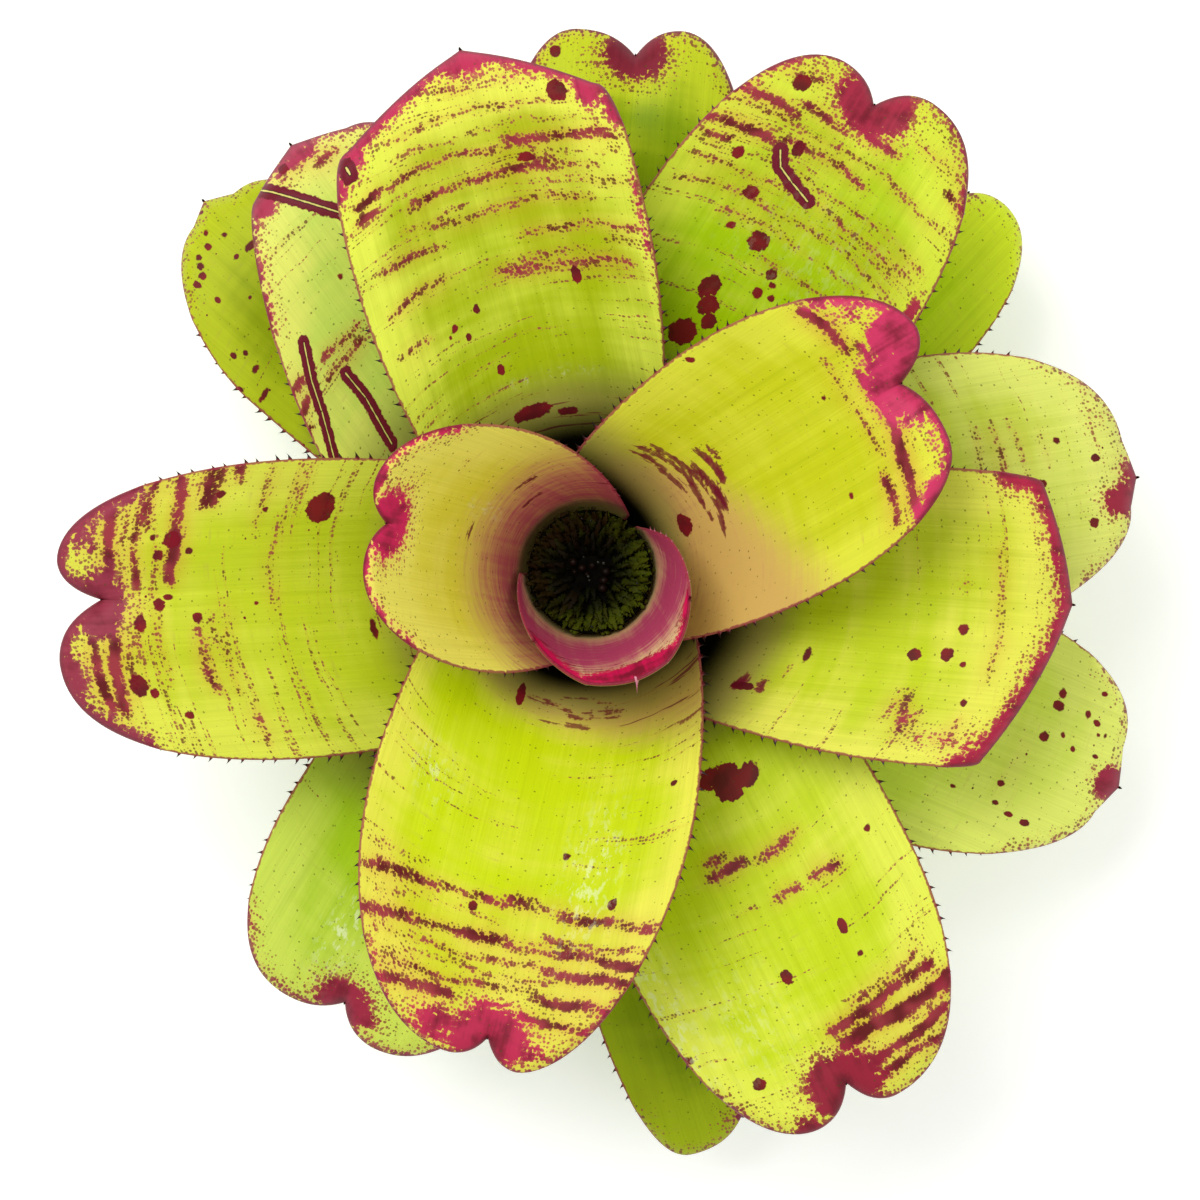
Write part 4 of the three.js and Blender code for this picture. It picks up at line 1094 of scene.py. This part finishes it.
def torn(node, total, here, colour):
    """The skin with its healed tears, a maroon welt round a dark line and a pale slit, and how near the welt
    is. tear goes from 0 in the middle of the nearest stretch to 1 at the welt's edge."""
    run = node("Attribute tear_run", output="Vector")
    from_start = node("VectorMath SUBTRACT", here.place, node("Attribute tear_at", output="Vector"))
    ahead = node("VectorMath DOT_PRODUCT", from_start, run)
    ahead = node("MapRange LINEAR", ahead, 0, node("VectorMath DOT_PRODUCT", run, run))
    aside = node("VectorMath SUBTRACT", from_start, node("VectorMath SCALE", run, Scale=ahead))
    tear = node("Math DIVIDE", node("VectorMath LENGTH", aside), here.tear_half)
    welt = total(-0.4, (tear, 1), (here.wobble, 0.8))
    slit = total(-0.1, (tear, 1), (here.wobble, 0.2))
    colour = node(MIX, node(STEP, welt, 1.05, 0.9), colour, WELT_RED)
    colour = node(MIX, node(STEP, slit, 0.25, 0.15), colour, SLIT_DARK)
    return node(MIX, node(STEP, slit, 0.13, 0.05), colour, SLIT), welt


def leaf_skin(name, look):
    """Waxy bromeliad leaf skin: a clear cuticle over lime tissue, so its gloss is soft and its colour deep.
    Anthocyanin gives maroon bands of tiny dots in the vein rows, spots and a crimson tip."""
    material, node, total = material_tools(name)
    here = leaf_readings(node)
    colour = leaf_tissue(node, total, here, look)
    colour = marked(node, total, here, look, colour)
    colour = pitted(node, total, here, colour)
    colour, welt = torn(node, total, here, colour)

    # Dried film of hard water, in ragged sheets, and a thin red line along the edge, broken into beads.
    film = node("Math MULTIPLY", here.glaze, node(STEP, here.sheets, 0.5, 0.62, 0, 0.5))
    colour = node(MIX, film, colour, FILM)
    beads = total(-0.9, (here.edge, 1), (here.wobble, 1.8))
    colour = node(MIX, node(STEP, beads, 1, 0.5, 0, 0.85), colour, EDGE_RED)

    # The bottom of the cup is darkened with painted shade, and the underside is dull with grey scales.
    colour = node(MIX, node(STEP, here.dusk, -0.05, 1), colour, PAINTED_CUP_SHADE)
    colour = node(MIX, here.upper, node(MIX, 0.45, colour, UNDERSIDE), colour)
    rough = total(0.3, (here.clouds, 0.24), (film, 0.3))
    relief = total(0, (here.veins, 0.5), (here.streaks, 0.5), (node(STEP, welt, 1.1, 0.5), 1.4))
    normal = node("Bump", Height=relief, Strength=0.35, Distance=0.4 * MM)
    return shade(material, Base_Color=colour, Roughness=rough, Normal=normal, IOR=1.33,
                 Specular_IOR_Level=0.17)


def spine_horn(name, root, point):
    """Hard horny tissue of a leaf's spines: tinted at the root, darker and glossy at the point."""
    material, node, _ = material_tools(name)
    share = node(STEP, node("Attribute edge", output="Fac"), 0.05, 0.5)
    return shade(material, Base_Color=node(MIX, share, root, point), Roughness=0.35, IOR=1.4)


def stem_bark():
    """Corky stem bark, dull and brown, with fibres 1.4 mm wide up the stem and mossy blotches 8 mm wide."""
    material, node, _ = material_tools("bromeliad_stem_bark")
    place = node("TexCoord", output="Object")
    waves = (0.7 * PER_MM, 0.7 * PER_MM, 0.06 * PER_MM)
    fibres = node("TexNoise", node("VectorMath MULTIPLY", place, waves), 1, 5, 0.65)
    blotches = node("TexNoise", place, 0.12 * PER_MM, 3)
    colour = node(MIX, node(STEP, fibres, 0.35, 0.65), "4A3423", "8A6B48")
    colour = node(MIX, node(STEP, blotches, 0.5, 0.7, 0, 0.6), colour, "3A4426")
    normal = node("Bump", Height=fibres, Strength=0.7, Distance=0.8 * MM)
    return shade(material, Base_Color=colour, Roughness=0.85, Normal=normal)


def bract_skin():
    """Thin moist bracts of the flower head: painted light makes them moss green higher up, further out and on
    the side that faces the key light, with blots of tone; they turn near black towards the middle of the
    head, and some are brown and withered, fewer on the lit side. Damp, but soft, so they have hardly any
    gloss."""
    material, node, total = material_tools("bromeliad_bract_skin")
    growth = node("SeparateXYZ", node("Attribute growth", output="Vector"))
    up, out, age = (growth.node.outputs[axis] for axis in "XYZ")
    place = node("TexCoord", output="Object")
    blots = node("TexNoise", place, 0.15 * PER_MM, 2, 0.6)
    waves = (0.9 * PER_MM, 0.9 * PER_MM, 0.3 * PER_MM)
    fine = node("TexNoise", node("VectorMath MULTIPLY", place, waves), 1, 3, 0.65)
    # Painted light: lighter on the side of the head that faces the key light.
    where = node("SeparateXYZ", place)
    key_lit_side = total(0, (where, 20), (where.node.outputs["Y"], -10))
    # Painted light: moss green higher up and further out in the head, with blots and fine grain in the tone.
    lit = total(-2.0, (up, 0.3), (out, 0.8), (blots, 2.6), (fine, 0.5), (key_lit_side, 1))
    colour = node(MIX, node(STEP, lit, -0.5, 1.2), "161804", "464F0A")
    # Brown, withered bracts, fewer on the side painted as lit.
    brown = total(-0.4, (age, 1), (blots, 0.8), (key_lit_side, -1.4))
    colour = node(MIX, node(STEP, brown, 0.5, 1.0, 0, 0.75), colour, "2A180A")
    colour = node(MIX, node(STEP, out, 0.2, 0.85, 0.95, 0), colour, "030301")
    normal = node("Bump", Height=fine, Strength=0.6, Distance=0.3 * MM)
    return shade(material, Base_Color=colour, Roughness=0.6, Normal=normal, IOR=1.33, Specular_IOR_Level=0.12)


def damp_skin(name, waves, dark, light, **gloss):
    """Damp plant matter of two tones in soft blots, given in waves per mm."""
    material, node, _ = material_tools(name)
    blots = node("TexNoise", node("TexCoord", output="Object"), waves * PER_MM, 3, 0.6)
    return shade(material, Base_Color=node(MIX, node(STEP, blots, 0.38, 0.68), dark, light), **gloss)


# ---- floor, light and camera ----


def metres(place):
    """A place in mm as a vector in metres."""
    return Vector([value * MM for value in place])


def make_stage():
    """A wide pale floor, lit a little from within like a light table, so its shadows stay faint."""
    mesh = bpy.data.meshes.new("floor")
    half, low = FLOOR_HALF_WIDTH * MM, -FLOOR_DROP * MM
    corners = [(-half, -half, low), (half, -half, low), (half, half, low), (-half, half, low)]
    mesh.from_pydata(corners, [], [(0, 1, 2, 3)])
    floor = bpy.data.objects.new("floor", mesh)
    bpy.context.scene.collection.objects.link(floor)
    glow = {"Emission_Color": "FFFFFF", "Emission_Strength": FLOOR_GLOW}
    mesh.materials.append(shade(material_tools("pale_floor")[0], Base_Color="F6F6F5", Roughness=0.9, **glow))
    floor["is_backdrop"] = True


def make_lamp(name, place, width, watts):
    """A square soft light that faces the middle of the plant."""
    light = bpy.data.lights.new(name, "AREA")
    light.size = width * MM
    light.energy = watts
    lamp = bpy.data.objects.new(name, light)
    lamp.location = metres(place)
    lamp.rotation_euler = (metres(LAMPS_AIM) - metres(place)).to_track_quat("-Z", "Y").to_euler()
    bpy.context.scene.collection.objects.link(lamp)


def make_camera():
    """A camera above the plant that looks straight down."""
    lens_camera = bpy.data.cameras.new("camera")
    lens_camera.sensor_width = SENSOR_WIDTH
    lens_camera.lens = SENSOR_WIDTH * FOCAL_PIXELS / PICTURE_PIXELS
    camera = bpy.data.objects.new("camera", lens_camera)
    camera.location = metres(CAMERA_PLACE)
    bpy.context.scene.collection.objects.link(camera)
    bpy.context.scene.camera = camera


def make_studio():
    """An even white glow from all round, with colours shown as they are."""
    world = bpy.data.worlds.new("studio")
    world.use_nodes = True
    glow = world.node_tree.nodes["Background"]
    glow.inputs["Color"].default_value = linear("FFFFFF")
    glow.inputs["Strength"].default_value = STUDIO_GLOW
    bpy.context.scene.world = world
    bpy.context.scene.view_settings.view_transform = "Standard"


pale_horn = spine_horn("bromeliad_young_spine", "D890A0", "C06880")
horn = spine_horn("bromeliad_spine_horn", "8A2A36", "180806")
for order, (shape, look) in enumerate(zip(SHAPES, LOOKS)):
    spines = horn if order else pale_horn
    make_leaf(order, dict(zip(SHAPE_KEYS, shape)), dict(zip(LOOK_KEYS, look)), spines)
make_stem()
make_head()

make_stage()
make_camera()
for name, lamp in LAMPS.items():
    make_lamp(name, *lamp)
make_studio()

boxes = {"cad": cad_box, "visual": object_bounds()}
{key: [list(corner) for corner in box] for key, box in boxes.items()}
